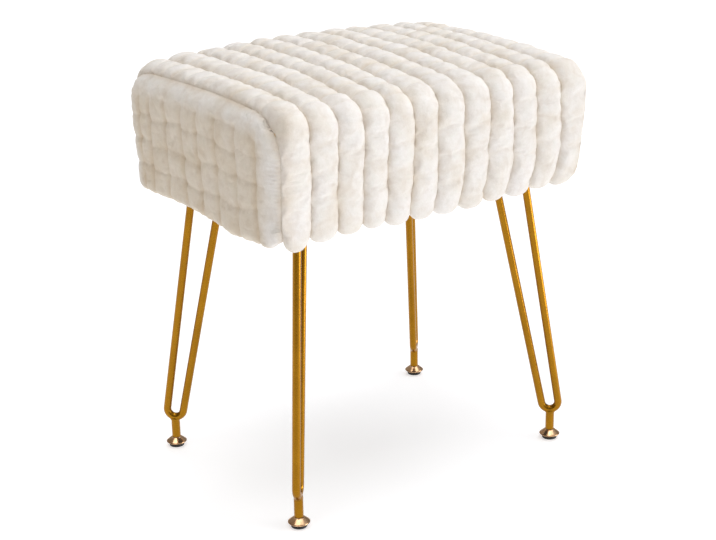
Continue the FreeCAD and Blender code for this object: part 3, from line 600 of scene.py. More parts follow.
def band_surface():
    th = np.linspace(0, math.pi, CELLS + 1)
    u_rib = -np.cos(th)
    rows, cols = ROWS, 12 * CELLS + 1
    frac = smooth01((SECTION[:, 0] + 120.0) / 240.0)
    wob = np.random.default_rng(5)
    seams = SEAMS_FRONT[None] * (1 - frac[:, None]) + SEAMS_BACK[None] * frac[:, None]
    for k in range(1, 12):
        ph = wob.uniform(0, 6.28, 3)
        seams[:, k] += 1.0 * np.sin(SEC_S / 23.0 + ph[0]) + 0.8 * np.sin(SEC_S / 41.0 + ph[1]) + 0.45 * np.sin(SEC_S / 8.5 + ph[2])
    seams -= SEAM_PULL[None] * smooth01((354.0 - SEC_Z) / 36.0)[:, None]
    seams[:, 0] += end_pull(-1, SEC_Z)
    seams[:, 12] -= end_pull(1, SEC_Z)
    # the hem is gathered towards the corners
    gather = smooth01((28.0 - SEC_M) / 28.0)[:, None]
    seams = np.sign(seams) * (np.abs(seams) - gather * np.clip(np.abs(seams) - 150.0, 0, None) * 0.5)
    X = np.zeros((rows, cols))
    U = np.zeros((rows, cols))
    Yc = np.broadcast_to(SECTION[:, 0][:, None], X.shape).copy()
    Zc = np.broadcast_to(SECTION[:, 1][:, None], X.shape).copy()
    groove, crease, on_top = zone_along(SEC_M)
    on_top = on_top[:, None]
    inset = {s: end_inset(s) for s in (-1, 1)}
    depth, crease_shade_paint, hold, deep = np.zeros_like(X), np.zeros_like(X), np.zeros_like(X), np.zeros_like(X)
    S = SEC_S[:, None]
    for i in range(12):
        sl = slice(i * CELLS, (i + 1) * CELLS + 1)
        lo, hi = seams[:, i][:, None], seams[:, i + 1][:, None]
        u = np.broadcast_to(u_rib[None, :], (rows, CELLS + 1))
        X[:, sl] = (lo + hi) / 2 + (hi - lo) / 2 * u
        U[:, sl] = u
        g = np.broadcast_to(groove[:, None], u.shape).copy()
        if i == 0:
            g = np.where(u < 0, inset[-1][:, None], g)
        if i == 11:
            g = np.where(u > 0, inset[1][:, None], g)
        prof = rib_profile(u, 2.25)
        dip, line, soft = bubble_depth(i, S, u)
        dip = dip * on_top + soft * (1 - on_top)
        depth[:, sl] = g * (1 - prof) + crease[:, None] * dip * (0.30 + 0.70 * prof) * smooth01((1 - np.abs(u)) / 0.12)
        deep[:, sl] = g
        strength = np.clip(crease[:, None] / 3.3, 0.25, 1.0)
        # painted shade: the plush is marked darker in the grooves between ribs, along the bubbles' meeting lines and in
        # the bubbles' hollows on top, where shade falls
        crease_shade_paint[:, sl] = np.maximum(crease_shade_paint[:, sl], np.clip((1 - prof) ** 1.6 * 1.1 + (0.12 + 0.30 * on_top) * line + 0.22 * dip * on_top, 0, 1))
        if i == 0:
            # painted shade: the first rib's left flank, turned away from the light, is marked darker
            crease_shade_paint[:, sl] = np.maximum(crease_shade_paint[:, sl], 0.75 * smooth01((0.15 - u) / 0.95) * (1 - 0.6 * on_top) * (S < SEC_LEN / 2))
        hold[:, sl] = np.maximum(hold[:, sl], np.where(np.abs(u) > 0.999, 1.0, np.clip(line, 0, 1) * (0.35 + 0.45 * on_top)))
        low = smooth01((365.0 - Zc[:, sl]) / 45.0) * (Yc[:, sl] < 0)
        Zc[:, sl] += RIB_LOW[i] * low * (0.35 + 0.65 * prof)
        Zc[:, sl] += 4.2 * (1 - prof) * smooth01((336.0 - Zc[:, sl]) / 15.0) * smooth01((SEC_M[:, None] - 8.0) / 12.0)
    hold[:4] = hold[-4:] = 1.0
    P = np.stack([X, Yc, Zc], 2).reshape(-1, 3)
    broad = (1.0 * vnoise(P, 46.0, 3) + 0.55 * vnoise(P, 20.0, 4)).reshape(X.shape)
    free = smooth01((1 - np.abs(U)) / 0.25) * smooth01(SEC_M / 40.0)[:, None]
    depth = depth + broad * (0.4 + 0.6 * free) * smooth01(SEC_M / 40.0)[:, None] * smooth01(np.minimum(X - X[:, :1], X[:, -1:] - X) / 12.0)

    def place(depth):
        out = np.stack([X, Yc - SEC_N[:, 0][:, None] * depth, Zc - SEC_N[:, 1][:, None] * depth], 2)
        out[..., 2] += crown(X, np.clip(Yc, -FACE_Y, FACE_Y)) * smooth01((Zc - 330.0) / 90.0) + tilt(X, Yc, Zc)
        return out

    skin = place(depth)
    lining = place(deep + 0.7 + 0.7 * smooth01(SEC_M / 34.0)[:, None])
    return skin, lining, crease_shade_paint, hold, free


band_skin, band_lining, band_crease_shade_paint, band_hold, band_free = band_surface()
step = 2
moved = swell("band_swell", band_skin[::step], band_hold[::step])
rows_c = np.arange(0, ROWS, step)
full = np.stack([np.stack([np.interp(np.arange(ROWS), rows_c, moved[:, c, k]) for c in range(moved.shape[1])], 1) for k in range(3)], 2)
band_skin = band_skin + full
BAND_EDGE = {-1: band_skin[:, 0].copy(), 1: band_skin[:, -1].copy()}
band_skin = pile(band_skin, grid_normals(band_skin), 0.55 * band_free, 71)
band = closed_cover("cover_band_ribs", band_skin, band_lining, 8, CELLS // 2, band_crease_shade_paint, MAT["plush"])
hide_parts("cover_band")


# ---------------------------------------------------------------- end panels
PANEL_SEAMS = {-1: np.array([-113.6, -78.2, -42.2, -7.0, 23.7, 60.3, 93.4, 115.0]),
               1: np.array([-112.0, -84.5, -55.0, -21.5, 12.0, 45.0, 79.5, 112.5])}
PANEL_LOW_Y = [-145, -131, -96, -60, -25, 8, 42, 77, 113, 145]
PANEL_LOW = {-1: [-2.8, -3.0, -3.2, -3.6, 0.0, 3.6, 5.4, 6.2, 7.2, 7.6], 1: [4.0, 4.2, 4.4, 3.0, 3.4, 4.6, 4.0, 5.0, 4.4, 3.5]}
HEM_ROWS = [(26.5, 321.0), (21.0, 320.7), (16.0, 318.6), (11.5, 315.2), (7.0, 313.2), (2.6, 315.8), (0.4, 321.6), (0.0, 330.0)]


def coons(left, top, right, bottom):
    """A patch between four lines: left and right run upwards, bottom and top across."""
    n, m = len(top), len(left)
    u = np.linspace(0, 1, n)[None, :, None]
    v = np.linspace(0, 1, m)[:, None, None]
    L, R, T, B = left[:, None, :], right[:, None, :], top[None], bottom[None]
    return ((1 - u) * L + u * R + (1 - v) * B + v * T
            - (1 - u) * (1 - v) * B[:, :1] - u * (1 - v) * B[:, -1:] - (1 - u) * v * T[:, :1] - u * v * T[:, -1:])


def ends_closer(n, power):
    """n numbers from 0 to 1 that lie closer together near both ends."""
    t = np.linspace(-1, 1, n)
    return 0.5 + 0.5 * np.sign(t) * (1 - (1 - np.abs(t)) ** power)


def panel_surface(sign):
    """The sewn end panel from the hem up: skin, lining, painted crease shade, hold, free and painted roll light grids,
    before it is mirrored to its own side.
    """
    keep = (SEC_M >= S_330 - 1e-6)
    inset = end_inset(sign)
    line = SECTION[keep] - SEC_N[keep] * inset[keep][:, None]
    along = SEC_S[keep]
    d = np.concatenate([[0], np.cumsum(np.linalg.norm(np.diff(line, axis=0), axis=1))])
    total = d[-1]
    half_side = (S_FACE_END - S_330) + SHOULDER * 0.72
    n_hem = 40
    m, n = ((105, 193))
    at = lambda q: np.stack([np.interp(q, d, line[:, 0]), np.interp(q, d, line[:, 1])], -1)
    v = 1 - (1 - np.linspace(0, 1, m)) ** 1.3
    w = ends_closer(n, 1.3)
    q_left, q_right, q_top = v * half_side, total - v * half_side, half_side + w * (total - 2 * half_side)
    left, right, top = at(q_left), at(q_right), at(q_top)
    bottom = left[0] * (1 - w[:, None]) + right[0] * w[:, None]
    Q = coons(left, top, right, bottom)
    q = Q.reshape(-1, 2)
    best = np.full(len(q), 1e9)
    for p in even(line, 500):
        best = np.minimum(best, (q[:, 0] - p[0]) ** 2 + (q[:, 1] - p[1]) ** 2)
    e = np.sqrt(best).reshape(m, n)
    roll = np.sqrt(np.clip(1 - (1 - np.clip(e / 25.0, 0, 1)) ** 2.1, 0, 1))
    z = Q[..., 1]
    seam_x = END_X[sign] - end_pull(sign, z)
    flat_x = 212.4 - 3.2 * smooth01((430.0 - z) / 115.0)
    face = np.stack([seam_x * (1 - roll) + flat_x * roll, Q[..., 0], z], 2)

    # the hem rows turn under towards the hem's own line
    curve = spline(HEM_ROWS, n_hem + 1)[:-1]
    x0, y0 = face[0, :, 0], face[0, :, 1]
    y_h = np.sign(y0) * np.where(np.abs(y0) < 100, np.abs(y0), 100 + (np.abs(y0) - 100) * 0.42)
    gap = np.stack([172.2 - x0, y_h - y0], -1)
    far = np.linalg.norm(gap, axis=-1)
    go = gap / far[..., None]
    q_in = np.where(curve[:, 0][:, None] < 12, curve[:, 0][:, None], 12 + (curve[:, 0][:, None] - 12) / 14.5 * (far[None] - 12))
    xy = np.stack([x0, y0], -1)[None] + go[None] * q_in[..., None]
    hem = np.concatenate([xy, np.broadcast_to(curve[:, 1][:, None, None], (*q_in.shape, 1))], 2)
    base = np.concatenate([hem, face], 0)
    rows = n_hem + m
    Y0 = np.concatenate([np.broadcast_to(y0[None], hem.shape[:2]), face[..., 1]], 0)     # place across, before gathering
    E = np.concatenate([np.broadcast_to(e[0][None], hem.shape[:2]), e], 0)
    Z0 = base[..., 2]
    edge = np.ones(Y0.shape)
    edge[:n_hem] = smooth01((26.5 - curve[:, 0]) / 10.0)[:, None]

    seed = 31 if sign < 0 else 47
    rng = np.random.default_rng(seed)
    P = np.stack([np.full(Y0.shape, 300.0 * sign), Y0, Z0], 2).reshape(-1, 3)
    wander = (1.6 * vnoise(P, 36.0, seed) + 0.8 * vnoise(P, 13.0, seed + 1)).reshape(Y0.shape)
    yw = Y0 + wander
    seams = PANEL_SEAMS[sign]
    bounds = np.concatenate([[-150.0], seams, [150.0]])
    idx = np.clip(np.searchsorted(seams, yw.ravel()).reshape(Y0.shape), 0, len(seams))
    col = np.zeros_like(Y0)
    for k, sy in enumerate(seams):
        strong, wide = (1.5, 2.4) if (k == 0 and sign < 0) else (1.0, 1.9)
        col = np.maximum(col, strong * np.exp(-0.5 * np.abs((yw - sy) / wide) ** 1.5))
    lo, hi = bounds[idx], bounds[idx + 1]
    across = np.clip(2 * (yw - lo) / (hi - lo) - 1, -1, 1)
    puff = 1 - np.sqrt(np.clip(1 - np.abs(across) ** 2.6, 0, 1))
    row, puff_row = np.zeros_like(Y0), np.zeros_like(Y0)
    for k in range(len(seams) + 1):
        here = idx == k
        if k in (0, len(seams)):
            levels = np.array([280.0, 347.0, 375.0, 403.0, 430.5, 458.0]) + rng.normal(0, 1.0, 6)
        else:
            levels = np.array([280.0, 346.0, 374.5, 402.5, 431.0, 459.0]) + rng.normal(0, 1.3, 6) + (1.6 if k % 2 else -1.2)
        slope = rng.uniform(-0.08, 0.08, 6)
        how = rng.uniform(0.45, 1.1, 6)
        near = np.full(Y0.shape, 1e9)
        got = np.zeros_like(Y0)
        middle = (bounds[k] + bounds[k + 1]) / 2
        for z0, sl, h in zip(levels, slope, how):
            dist = np.abs(Z0 + 0.7 * wander + sl * (Y0 - middle) - z0)
            got = np.where(dist < near, h, got)
            near = np.minimum(near, dist)
        t = 1 - np.clip(near / 13.8, 0, 1)
        row = np.where(here, got * np.exp(-0.5 * np.abs(near / 2.0) ** 1.5), row)
        puff_row = np.where(here, got * (1 - np.sqrt(np.clip(1 - t ** 2.6, 0, 1))), puff_row)
    inside = smooth01((E - 14.0) / 9.0)
    corner = smooth01((np.abs(Y0) - 108.0) / 14.0) * (1 - smooth01((Z0 - (EDGE_Z - 30)) / 18.0))
    below = smooth01((336.0 - Z0) / 14.0)
    fade_row = np.maximum(inside * (1 - 0.8 * corner * (Y0 < 0)), np.where(Y0 > 0, 1.3, 0.2) * corner * smooth01(E / 6.0))
    fade_col = np.maximum(inside, np.maximum(corner * smooth01((E - 4.0) / 8.0), below * smooth01((E - 3.0) / 8.0)))
    depth = ((1.5 * col + 0.9 * puff) * fade_col + (0.5 * row + 0.8 * puff_row) * fade_row + 1.5 * col * row * fade_col * fade_row) * edge
    depth = depth + 1.1 * np.exp(-((E - 19.5) / 4.5) ** 2) * smooth01((Z0 - 385.0) / 30.0)
    noise = (0.9 * vnoise(P, 42.0, seed + 2) + 0.55 * vnoise(P, 18.0, seed + 3)).reshape(Y0.shape)
    depth = depth + noise * smooth01(E / 10.0) * edge
    nor = grid_normals(base)
    if nor[rows // 2, n // 2, 0] < 0:
        nor = -nor
    skin = base - nor * depth[..., None]
    thick = 1.3 + 4.9 * smooth01(E / 16.0) * smooth01((Z0 - 326.0) / 30.0)
    lining = base - nor * (np.minimum(depth, 3.0) * 0.0 + thick)[..., None]

    # seam to seam with the band: every border point goes to the band's own edge
    fold_left = np.arange(n_hem) / n_hem * S_330
    s_left = np.concatenate([fold_left, np.interp(q_left, d, along)])
    s_right = np.concatenate([SEC_LEN - fold_left, np.interp(q_right, d, along)])
    s_top = np.interp(q_top, d, along)
    out = []
    for g in (skin, lining):
        g = g.copy()
        zz, yy = g[..., 2].copy(), g[..., 1]
        low = smooth01((372.0 - zz) / 50.0) * smooth01((g[..., 0] - 172.0) / 26.0)
        g[..., 2] = zz + np.interp(yy, PANEL_LOW_Y, PANEL_LOW[sign]) * low
        g[..., 2] += crown(np.full_like(yy, 203.0), np.clip(yy, -FACE_Y, FACE_Y)) * smooth01((zz - 330.0) / 90.0) + tilt(sign * g[..., 0], yy, zz)
        out.append(g)
    skin, lining = out
    target = BAND_EDGE[sign] * np.array([sign, 1.0, 1.0])
    goal = lambda s: np.stack([np.interp(s, SEC_S, target[:, k]) for k in range(3)], -1)
    move_l, move_r = goal(s_left) - skin[:, 0], goal(s_right) - skin[:, -1]
    move_t = goal(s_top) - skin[-1]
    share = lambda dist: (1 - smooth01(dist / 15.0))[..., None]
    reach_l = np.linalg.norm(np.cumsum(np.linalg.norm(np.diff(skin, axis=1, prepend=skin[:, :1]), axis=2), axis=1)[..., None], axis=2)
    reach_r = reach_l[:, -1:] - reach_l
    steps = np.linalg.norm(np.diff(skin[::-1], axis=0, prepend=skin[-1:]), axis=2)
    reach_t = np.cumsum(steps, axis=0)[::-1]
    wl, wr, wt = share(reach_l), share(reach_r), share(reach_t)
    total_w = np.maximum(wl + wr + wt, 1.0)
    add = (wl * move_l[:, None] + wr * move_r[:, None] + wt * move_t[None]) / total_w
    skin, lining = skin + add, lining + add
    skin[:, 0], skin[:, -1] = goal(s_left), goal(s_right)
    skin[-1] = goal(s_top)
    # painted shade: the panel is marked darker along its column and row creases and in a thin line by the seam round
    # its edge
    crease_shade_paint = np.clip(0.55 * col * fade_col + 0.16 * row * fade_row + 0.5 * col * row * fade_row, 0, 1) * edge
    crease_shade_paint = np.maximum(crease_shade_paint, np.exp(-(E / 2.2) ** 2))
    hold = np.clip(np.maximum(0.8 * np.clip(col, 0, 1) * fade_col, 0.7 * np.clip(row, 0, 1) * fade_row), 0, 0.8)
    hold[:5] = hold[-1:] = 1.0
    hold[:, :2] = hold[:, -2:] = 1.0
    hold[-2:] = 1.0
    free = smooth01(E / 5.0) * edge
    # painted light: the border roll within about 28 mm of the seam is marked to be painted lighter
    roll_light_paint = 1 - smooth01((E - 4.0) / 24.0)
    return skin, lining, crease_shade_paint, hold, free, roll_light_paint


for sign, side in ((-1, "left"), (1, "right")):
    skin, lining, crease_shade_paint, hold, free, roll_light_paint = panel_surface(sign)
    flip = np.array([sign, 1.0, 1.0])
    skin, lining = skin * flip, lining * flip
    if sign < 0:
        skin, lining, crease_shade_paint, hold, free, roll_light_paint = (g[:, ::-1] for g in (skin, lining, crease_shade_paint, hold, free, roll_light_paint))
    skin = skin + swell("panel_swell", np.ascontiguousarray(skin), hold, pressure=0.9, grow=0.012, cap=1.2)
    skin = pile(skin, grid_normals(skin), 0.5 * free, 81)
    ob = closed_cover("cover_end_%s_panel" % side, skin, lining, 8, 4, crease_shade_paint, PLUSH_SHADED_ENDS, roll_light_paint)
    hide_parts("cover_end_%s" % side)


# ---------------------------------------------------------------- foam inside the cover
def rounded_block(name, low, high, radius, cell, form=None, seed=0):
    """A block with rounded edges, from six square grids, with a little of the foam's unevenness."""
    low, high = np.asarray(low, float), np.asarray(high, float)
    size = high - low
    n = np.maximum(2, np.round(size / cell).astype(int)) + 1
    key, pts, faces = {}, [], []

    def vert(i, j, k):
        if (i, j, k) not in key:
            key[(i, j, k)] = len(pts)
            pts.append([low[a] + size[a] * t / (n[a] - 1) for a, t in enumerate((i, j, k))])
        return key[(i, j, k)]

    for axis in range(3):
        b, c = [a for a in range(3) if a != axis]
        for end in (0, n[axis] - 1):
            for p in range(n[b] - 1):
                for q in range(n[c] - 1):
                    quad = []
                    for dp, dq in ((0, 0), (1, 0), (1, 1), (0, 1)):
                        ijk = [0, 0, 0]
                        ijk[axis], ijk[b], ijk[c] = end, p + dp, q + dq
                        quad.append(vert(*ijk))
                    right_way = (end > 0) != (axis == 1)
                    faces.append(quad if right_way else quad[::-1])
    pts = np.array(pts)
    core = np.clip(pts, low + radius, high - radius)
    away = pts - core
    length = np.linalg.norm(away, axis=1)
    length[length == 0] = 1
    pts = core + away / length[:, None] * radius
    bump = 0.35 * vnoise(pts, 9.0, seed) + 0.5 * vnoise(pts, 28.0, seed + 1) - 0.5
    middle = (low + high) / 2
    pts = pts + (pts - middle) / (np.abs(pts - middle).max(axis=0) + 1e-9) * bump[:, None] * (size > 8)
    if form is not None:
        form(pts, low, high)
    return mesh_object(name, pts, faces)


def crowned(pts, low, high):
    share = np.clip((pts[:, 2] - low[2]) / (high[2] - low[2]), 0, 1)
    pts[:, 2] += share * 0.9 * crown(pts[:, 0], pts[:, 1]) * np.clip(1.0 - (np.abs(pts[:, 1]) / 140.0) ** 4, 0, 1)


def leaning(x_out, y_out, top_more):
    """Turns an upright foam sheet so that it follows the cover's lean: outwards by top_more at the top."""
    def move(pts, low, high):
        share = (pts[:, 2] - low[2]) / (high[2] - low[2])
        pts[:, 0] += x_out * top_more * share
        pts[:, 1] += y_out * top_more * share
    return move


def add_foam():
    rows = [
        ("foam_slab", "foam_top", (-195.5, -133.0, 427.8), (195.5, 133.0, 441.0), 12.0, 6.0, crowned),
        ("foam_sheet_front", "foam_front", (-190.0, -137.6, 330.0), (190.0, -136.2, 420.0), 0.6, 6.0, leaning(0, -1, 2.2)),
        ("foam_sheet_back", "foam_back", (-190.0, 136.2, 330.0), (190.0, 137.6, 420.0), 0.6, 6.0, leaning(0, 1, 2.2)),
        ("foam_sheet_left", "foam_left", (-203.2, -128.0, 334.0), (-198.8, 128.0, 420.0), 2.0, 6.0, None),
        ("foam_sheet_right", "foam_right", (198.8, -128.0, 334.0), (203.2, 128.0, 420.0), 2.0, 6.0, None),
    ]
    for k, (name, node, low, high, radius, cell, form) in enumerate(rows):
        ob = rounded_block(name, low, high, radius, cell, form, 60 + k)
        set_material(ob, MAT["foam"])
        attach(ob, "stool")
        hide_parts(node)


add_foam()


# ---------------------------------------------------------------- glides, studs, welds, dust cover
def outward(ob):
    """Turn the faces of a closed piece so that they all look outwards."""
    bm = bmesh.new()
    bm.from_mesh(ob.data)
    bmesh.ops.recalc_face_normals(bm, faces=bm.faces)
    bm.to_mesh(ob.data)
    bm.free()


def filleted(corners, steps=6):
    """The closed outline through corners, given as (radius, height, rounding), with each corner rounded."""
    out, n = [], len(corners)
    for k, (r, z, c) in enumerate(corners):
        p, a, b = np.array([r, z]), np.array(corners[k - 1][:2]), np.array(corners[(k + 1) % n][:2])
        if c <= 0:
            out.append(p)
            continue
        p0, p1 = p + (a - p) / np.linalg.norm(a - p) * c, p + (b - p) / np.linalg.norm(b - p) * c
        for t in np.linspace(0, 1, steps):
            out.append((1 - t) ** 2 * p0 + 2 * t * (1 - t) * p + t ** 2 * p1)
    return np.array(out)


def turned(name, centre, outline, n=64, wave=None):
    """A piece turned on a lathe: a closed outline of (radius, height), swept round the upright line through centre. An outline that starts on the axis is closed by a point at both ends."""
    on_axis = outline[0][0] == 0
    ring = outline[1:-1] if on_axis else outline
    m = len(ring)
    a = np.linspace(0, 2 * math.pi, n, endpoint=False)
    R = ring[:, 0][:, None] * np.ones(n)[None]
    Z = ring[:, 1][:, None] * np.ones(n)[None]
    if wave is not None:
        R = R + wave(R, Z, np.broadcast_to(a[None], R.shape))
    pts = np.stack([centre[0] + R * np.cos(a), centre[1] + R * np.sin(a), Z], 2).reshape(-1, 3)
    faces = []
    for j in range(m - 1 if on_axis else m):
        for k in range(n):
            k2, j2 = (k + 1) % n, (j + 1) % m
            faces.append((j * n + k, j * n + k2, j2 * n + k2, j2 * n + k))
    if on_axis:
        pts = np.vstack([pts, [[centre[0], centre[1], outline[0][1]], [centre[0], centre[1], outline[-1][1]]]])
        first, last = m * n, m * n + 1
        faces += [(first, (k + 1) % n, k) for k in range(n)]
        faces += [(last, (m - 1) * n + k, (m - 1) * n + (k + 1) % n) for k in range(n)]
    ob = mesh_object(name, pts, faces)
    outward(ob)
    return ob


CAP = [(3.05, 5.15, 0.25), (5.05, 5.15, 0.2), (5.05, 3.15, 0.25), (8.55, 3.12, 0.5), (11.95, 5.35, 0.7), (11.95, 6.35, 0.7), (5.9, 11.1, 0.9), (5.1, 11.35, 0.25), (3.05, 11.35, 0.2)]
SOLE = [(0.0, 0.45), (5.9, 0.45), (6.3, 0.05), (7.7, 0.02), (8.3, 0.22), (8.62, 0.75), (8.68, 1.3), (8.68, 2.5), (8.5, 2.95), (5.1, 3.0), (4.95, 3.1), (4.9, 4.7), (4.6, 4.95), (0.0, 4.95)]


def stud_outline():
    z = np.arange(5.15, 29.951, 0.125)
    chamfer = np.minimum(np.minimum(z - 5.15 + 2.35, 29.95 - z + 2.2), 3.0)
    return np.vstack([[0.0, z[0]], np.stack([chamfer, z], 1), [0.0, z[-1]]])


def thread(R, Z, A):
    """A right-hand thread of 1 mm pitch cut into the stud, except in the plain part that is pressed into the cap."""
    phase = np.mod(Z - A / (2 * math.pi), 1.0)
    cut = 0.52 * np.clip(1.15 - np.abs(phase - 0.5) * 3.2, 0, 1)
    return -np.minimum(cut, np.clip(R - 2.3, 0, None)) * smooth01((Z - 11.0) / 0.8)


def foot_weld(name, sx, sy):
    """The ground-off weld between the sleeve and the bend of the rod: it fills the corner all the way round."""
    n, m = 72, 13
    ax, ay = -sx / math.sqrt(2), -sy / math.sqrt(2)        # in the plane of the rod, towards the middle of the stool
    phi = np.linspace(0, 2 * math.pi, n, endpoint=False)
    c, s = np.cos(phi), np.sin(phi)
    low = 31.4 + 0.55 * np.abs(s) + 0.25 * np.sin(5 * phi + 1.0)
    # far edge on the rod's own skin
    t_out = 4.42 * np.sign(s) * np.abs(s) ** 0.8
    s_out = 8.6 * np.sign(c) * np.abs(c) ** 1.1 + 0.4 * c
    rho = 9.67 + np.sqrt(np.clip(4.44 ** 2 - t_out ** 2, 0, None))
    z_out = 46.31 - np.sqrt(np.clip(rho ** 2 - (s_out - 0.66) ** 2, 1, None))
    rows = []
    A = np.stack([5.03 * c, 5.03 * s, low], 1)
    B = np.stack([s_out, t_out, z_out], 1)
    corner = np.stack([5.55 * c, 5.35 * s, 0.45 * low + 0.55 * z_out + 0.2 * np.abs(c)], 1)
    for v in np.linspace(0, 1, m):
        rows.append((1 - v) ** 2 * A + 2 * v * (1 - v) * corner + v ** 2 * B)
    inner = np.stack([3.7 * c, 3.7 * s, np.full(n, 33.1)], 1)
    under = np.stack([4.6 * c, 4.6 * s, low + 0.1], 1)
    rows += [inner, under]
    G = np.array(rows)
    m = len(G)
    pts = np.stack([sx * 180.7 + G[..., 0] * ax - G[..., 1] * ay, sy * 129.5 + G[..., 0] * ay + G[..., 1] * ax, G[..., 2]], 2).reshape(-1, 3)
    faces = [(j * n + k, j * n + (k + 1) % n, ((j + 1) % m) * n + (k + 1) % n, ((j + 1) % m) * n + k) for j in range(m) for k in range(n)]
    ob = mesh_object(name, pts, faces)
    outward(ob)
    return ob


def plate_weld(name, at, slope, seed):
    """The bead between the top of a rod and its plate. slope is how far the rod moves sideways for each millimetre of height, along x and y."""
    n = 48
    phi = np.linspace(0, 2 * math.pi, n, endpoint=False)
    wob = 0.28 * np.sin(9 * phi + seed) + 0.18 * np.sin(17 * phi + 2.0 * seed)
    rows = []
    for r, z in ((4.35, 314.4), (4.75, 313.9), (5.2, 314.25), (5.75, 315.0), (6.45, 315.9), (7.05, 316.5), (7.3, 316.95), (6.4, 317.15), (4.3, 317.15)):
        keep = 1.0 if 4.5 < r < 7.4 and z < 317 else 0.0
        rr = r + keep * wob
        rows.append(np.stack([at[0] + slope[0] * (z - 317.0) + rr * np.cos(phi), at[1] + slope[1] * (z - 317.0) + rr * np.sin(phi), np.full(n, z)], 1))
    G = np.array(rows)
    m = len(G)
    faces = [(j * n + k, j * n + (k + 1) % n, ((j + 1) % m) * n + (k + 1) % n, ((j + 1) % m) * n + k) for j in range(m) for k in range(n)]
    ob = mesh_object(name, G.reshape(-1, 3), faces)
    outward(ob)
    return ob


def hairpin(name, sx, sy, n=32):
    """The bent rod: down the outer line, round the bend, up the inner line, with a round section of 9 mm."""
    centre = np.array([0.66, 46.31])
    feet, tops = [], []
    for a, b in ((-16.81, 0.16563), (0.527, 0.21662)):
        u = np.array([b, 1.0]) / math.hypot(b, 1.0)
        p0 = np.array([a, 0.0])
        feet.append(p0 + u * np.dot(centre - p0, u))
        tops.append(np.array([a + b * 317.2, 317.2]))
    ang = [math.atan2(f[1] - centre[1], f[0] - centre[0]) % (2 * math.pi) for f in feet]
    far = [np.linalg.norm(f - centre) for f in feet]
    lo, hi = ang[0], ang[1] if ang[1] > ang[0] else ang[1] + 2 * math.pi
    share = np.linspace(0, 1, 41)
    arc_a = lo + (hi - lo) * share
    arc_r = far[0] + (far[1] - far[0]) * share
    arc = centre + np.stack([np.cos(arc_a), np.sin(arc_a)], 1) * arc_r[:, None]
    down = tops[0] + (feet[0] - tops[0]) * np.linspace(0, 1, 24)[:-1, None]
    up = feet[1] + (tops[1] - feet[1]) * np.linspace(0, 1, 24)[1:, None]
    path = np.vstack([down, arc, up])
    d = np.gradient(path, axis=0)
    d /= np.linalg.norm(d, axis=1)[:, None]
    side = np.stack([-d[:, 1], d[:, 0]], 1)
    a = np.linspace(0, 2 * math.pi, n, endpoint=False)
    s = path[:, 0][:, None] + 4.5 * np.cos(a) * side[:, 0][:, None]
    z = path[:, 1][:, None] + 4.5 * np.cos(a) * side[:, 1][:, None]
    w = np.broadcast_to(4.5 * np.sin(a), s.shape)
    z[0] = z[-1] = 317.2
    ax, ay = -sx / math.sqrt(2), -sy / math.sqrt(2)
    pts = np.stack([sx * 180.7 + s * ax - w * ay, sy * 129.5 + s * ay + w * ax, z], 2).reshape(-1, 3)
    m = len(path)
    faces = [(j * n + k, j * n + (k + 1) % n, (j + 1) * n + (k + 1) % n, (j + 1) * n + k) for j in range(m - 1) for k in range(n)]
    ends = np.array([pts[:n].mean(0), pts[-n:].mean(0)])
    first = len(pts)
    faces += [(first, (k + 1) % n, k) for k in range(n)] + [(first + 1, (m - 1) * n + k, (m - 1) * n + (k + 1) % n) for k in range(n)]
    ob = mesh_object(name, np.vstack([pts, ends]), faces)
    outward(ob)
    return ob


def finish_piece(ob, slot, body, node=None):
    set_material(ob, MAT[slot])
    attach(ob, body)
    if node:
        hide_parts(node)


def add_feet():
    seg = 72
    for k, (leg, (sx, sy)) in enumerate(LEGS.items()):
        foot = (sx * 180.7, sy * 129.5)
        finish_piece(turned("glide_flange_" + leg, foot, filleted(CAP), seg), "polished_brass", "glide_" + leg, "glide_cap_" + leg)
        finish_piece(turned("glide_pad_" + leg, foot, np.array(SOLE), seg), "black_sole", "sole_" + leg, "glide_sole_" + leg)
        finish_piece(turned("glide_thread_" + leg, foot, stud_outline(), 36, thread), "zinc_steel", "glide_" + leg, "glide_stud_" + leg)
        finish_piece(foot_weld("foot_weld_" + leg, sx, sy), "gold_paint", "stool")
        finish_piece(hairpin("hairpin_" + leg, sx, sy, 40), "gold_paint", "stool", "hairpin_rod_" + leg)
        for rod, (a, b) in (("outer", (-16.81, 0.16563)), ("inner", (0.527, 0.21662))):
            along = a + b * 317.0
            h = 1 / math.sqrt(2)
            at = (sx * (180.7 - along * h), sy * (129.5 - along * h))
            finish_piece(plate_weld("plate_weld_%s_%s" % (rod, leg), at, (-sx * b * h, -sy * b * h), k + (5 if rod == "inner" else 0)), "gold_paint", "stool")


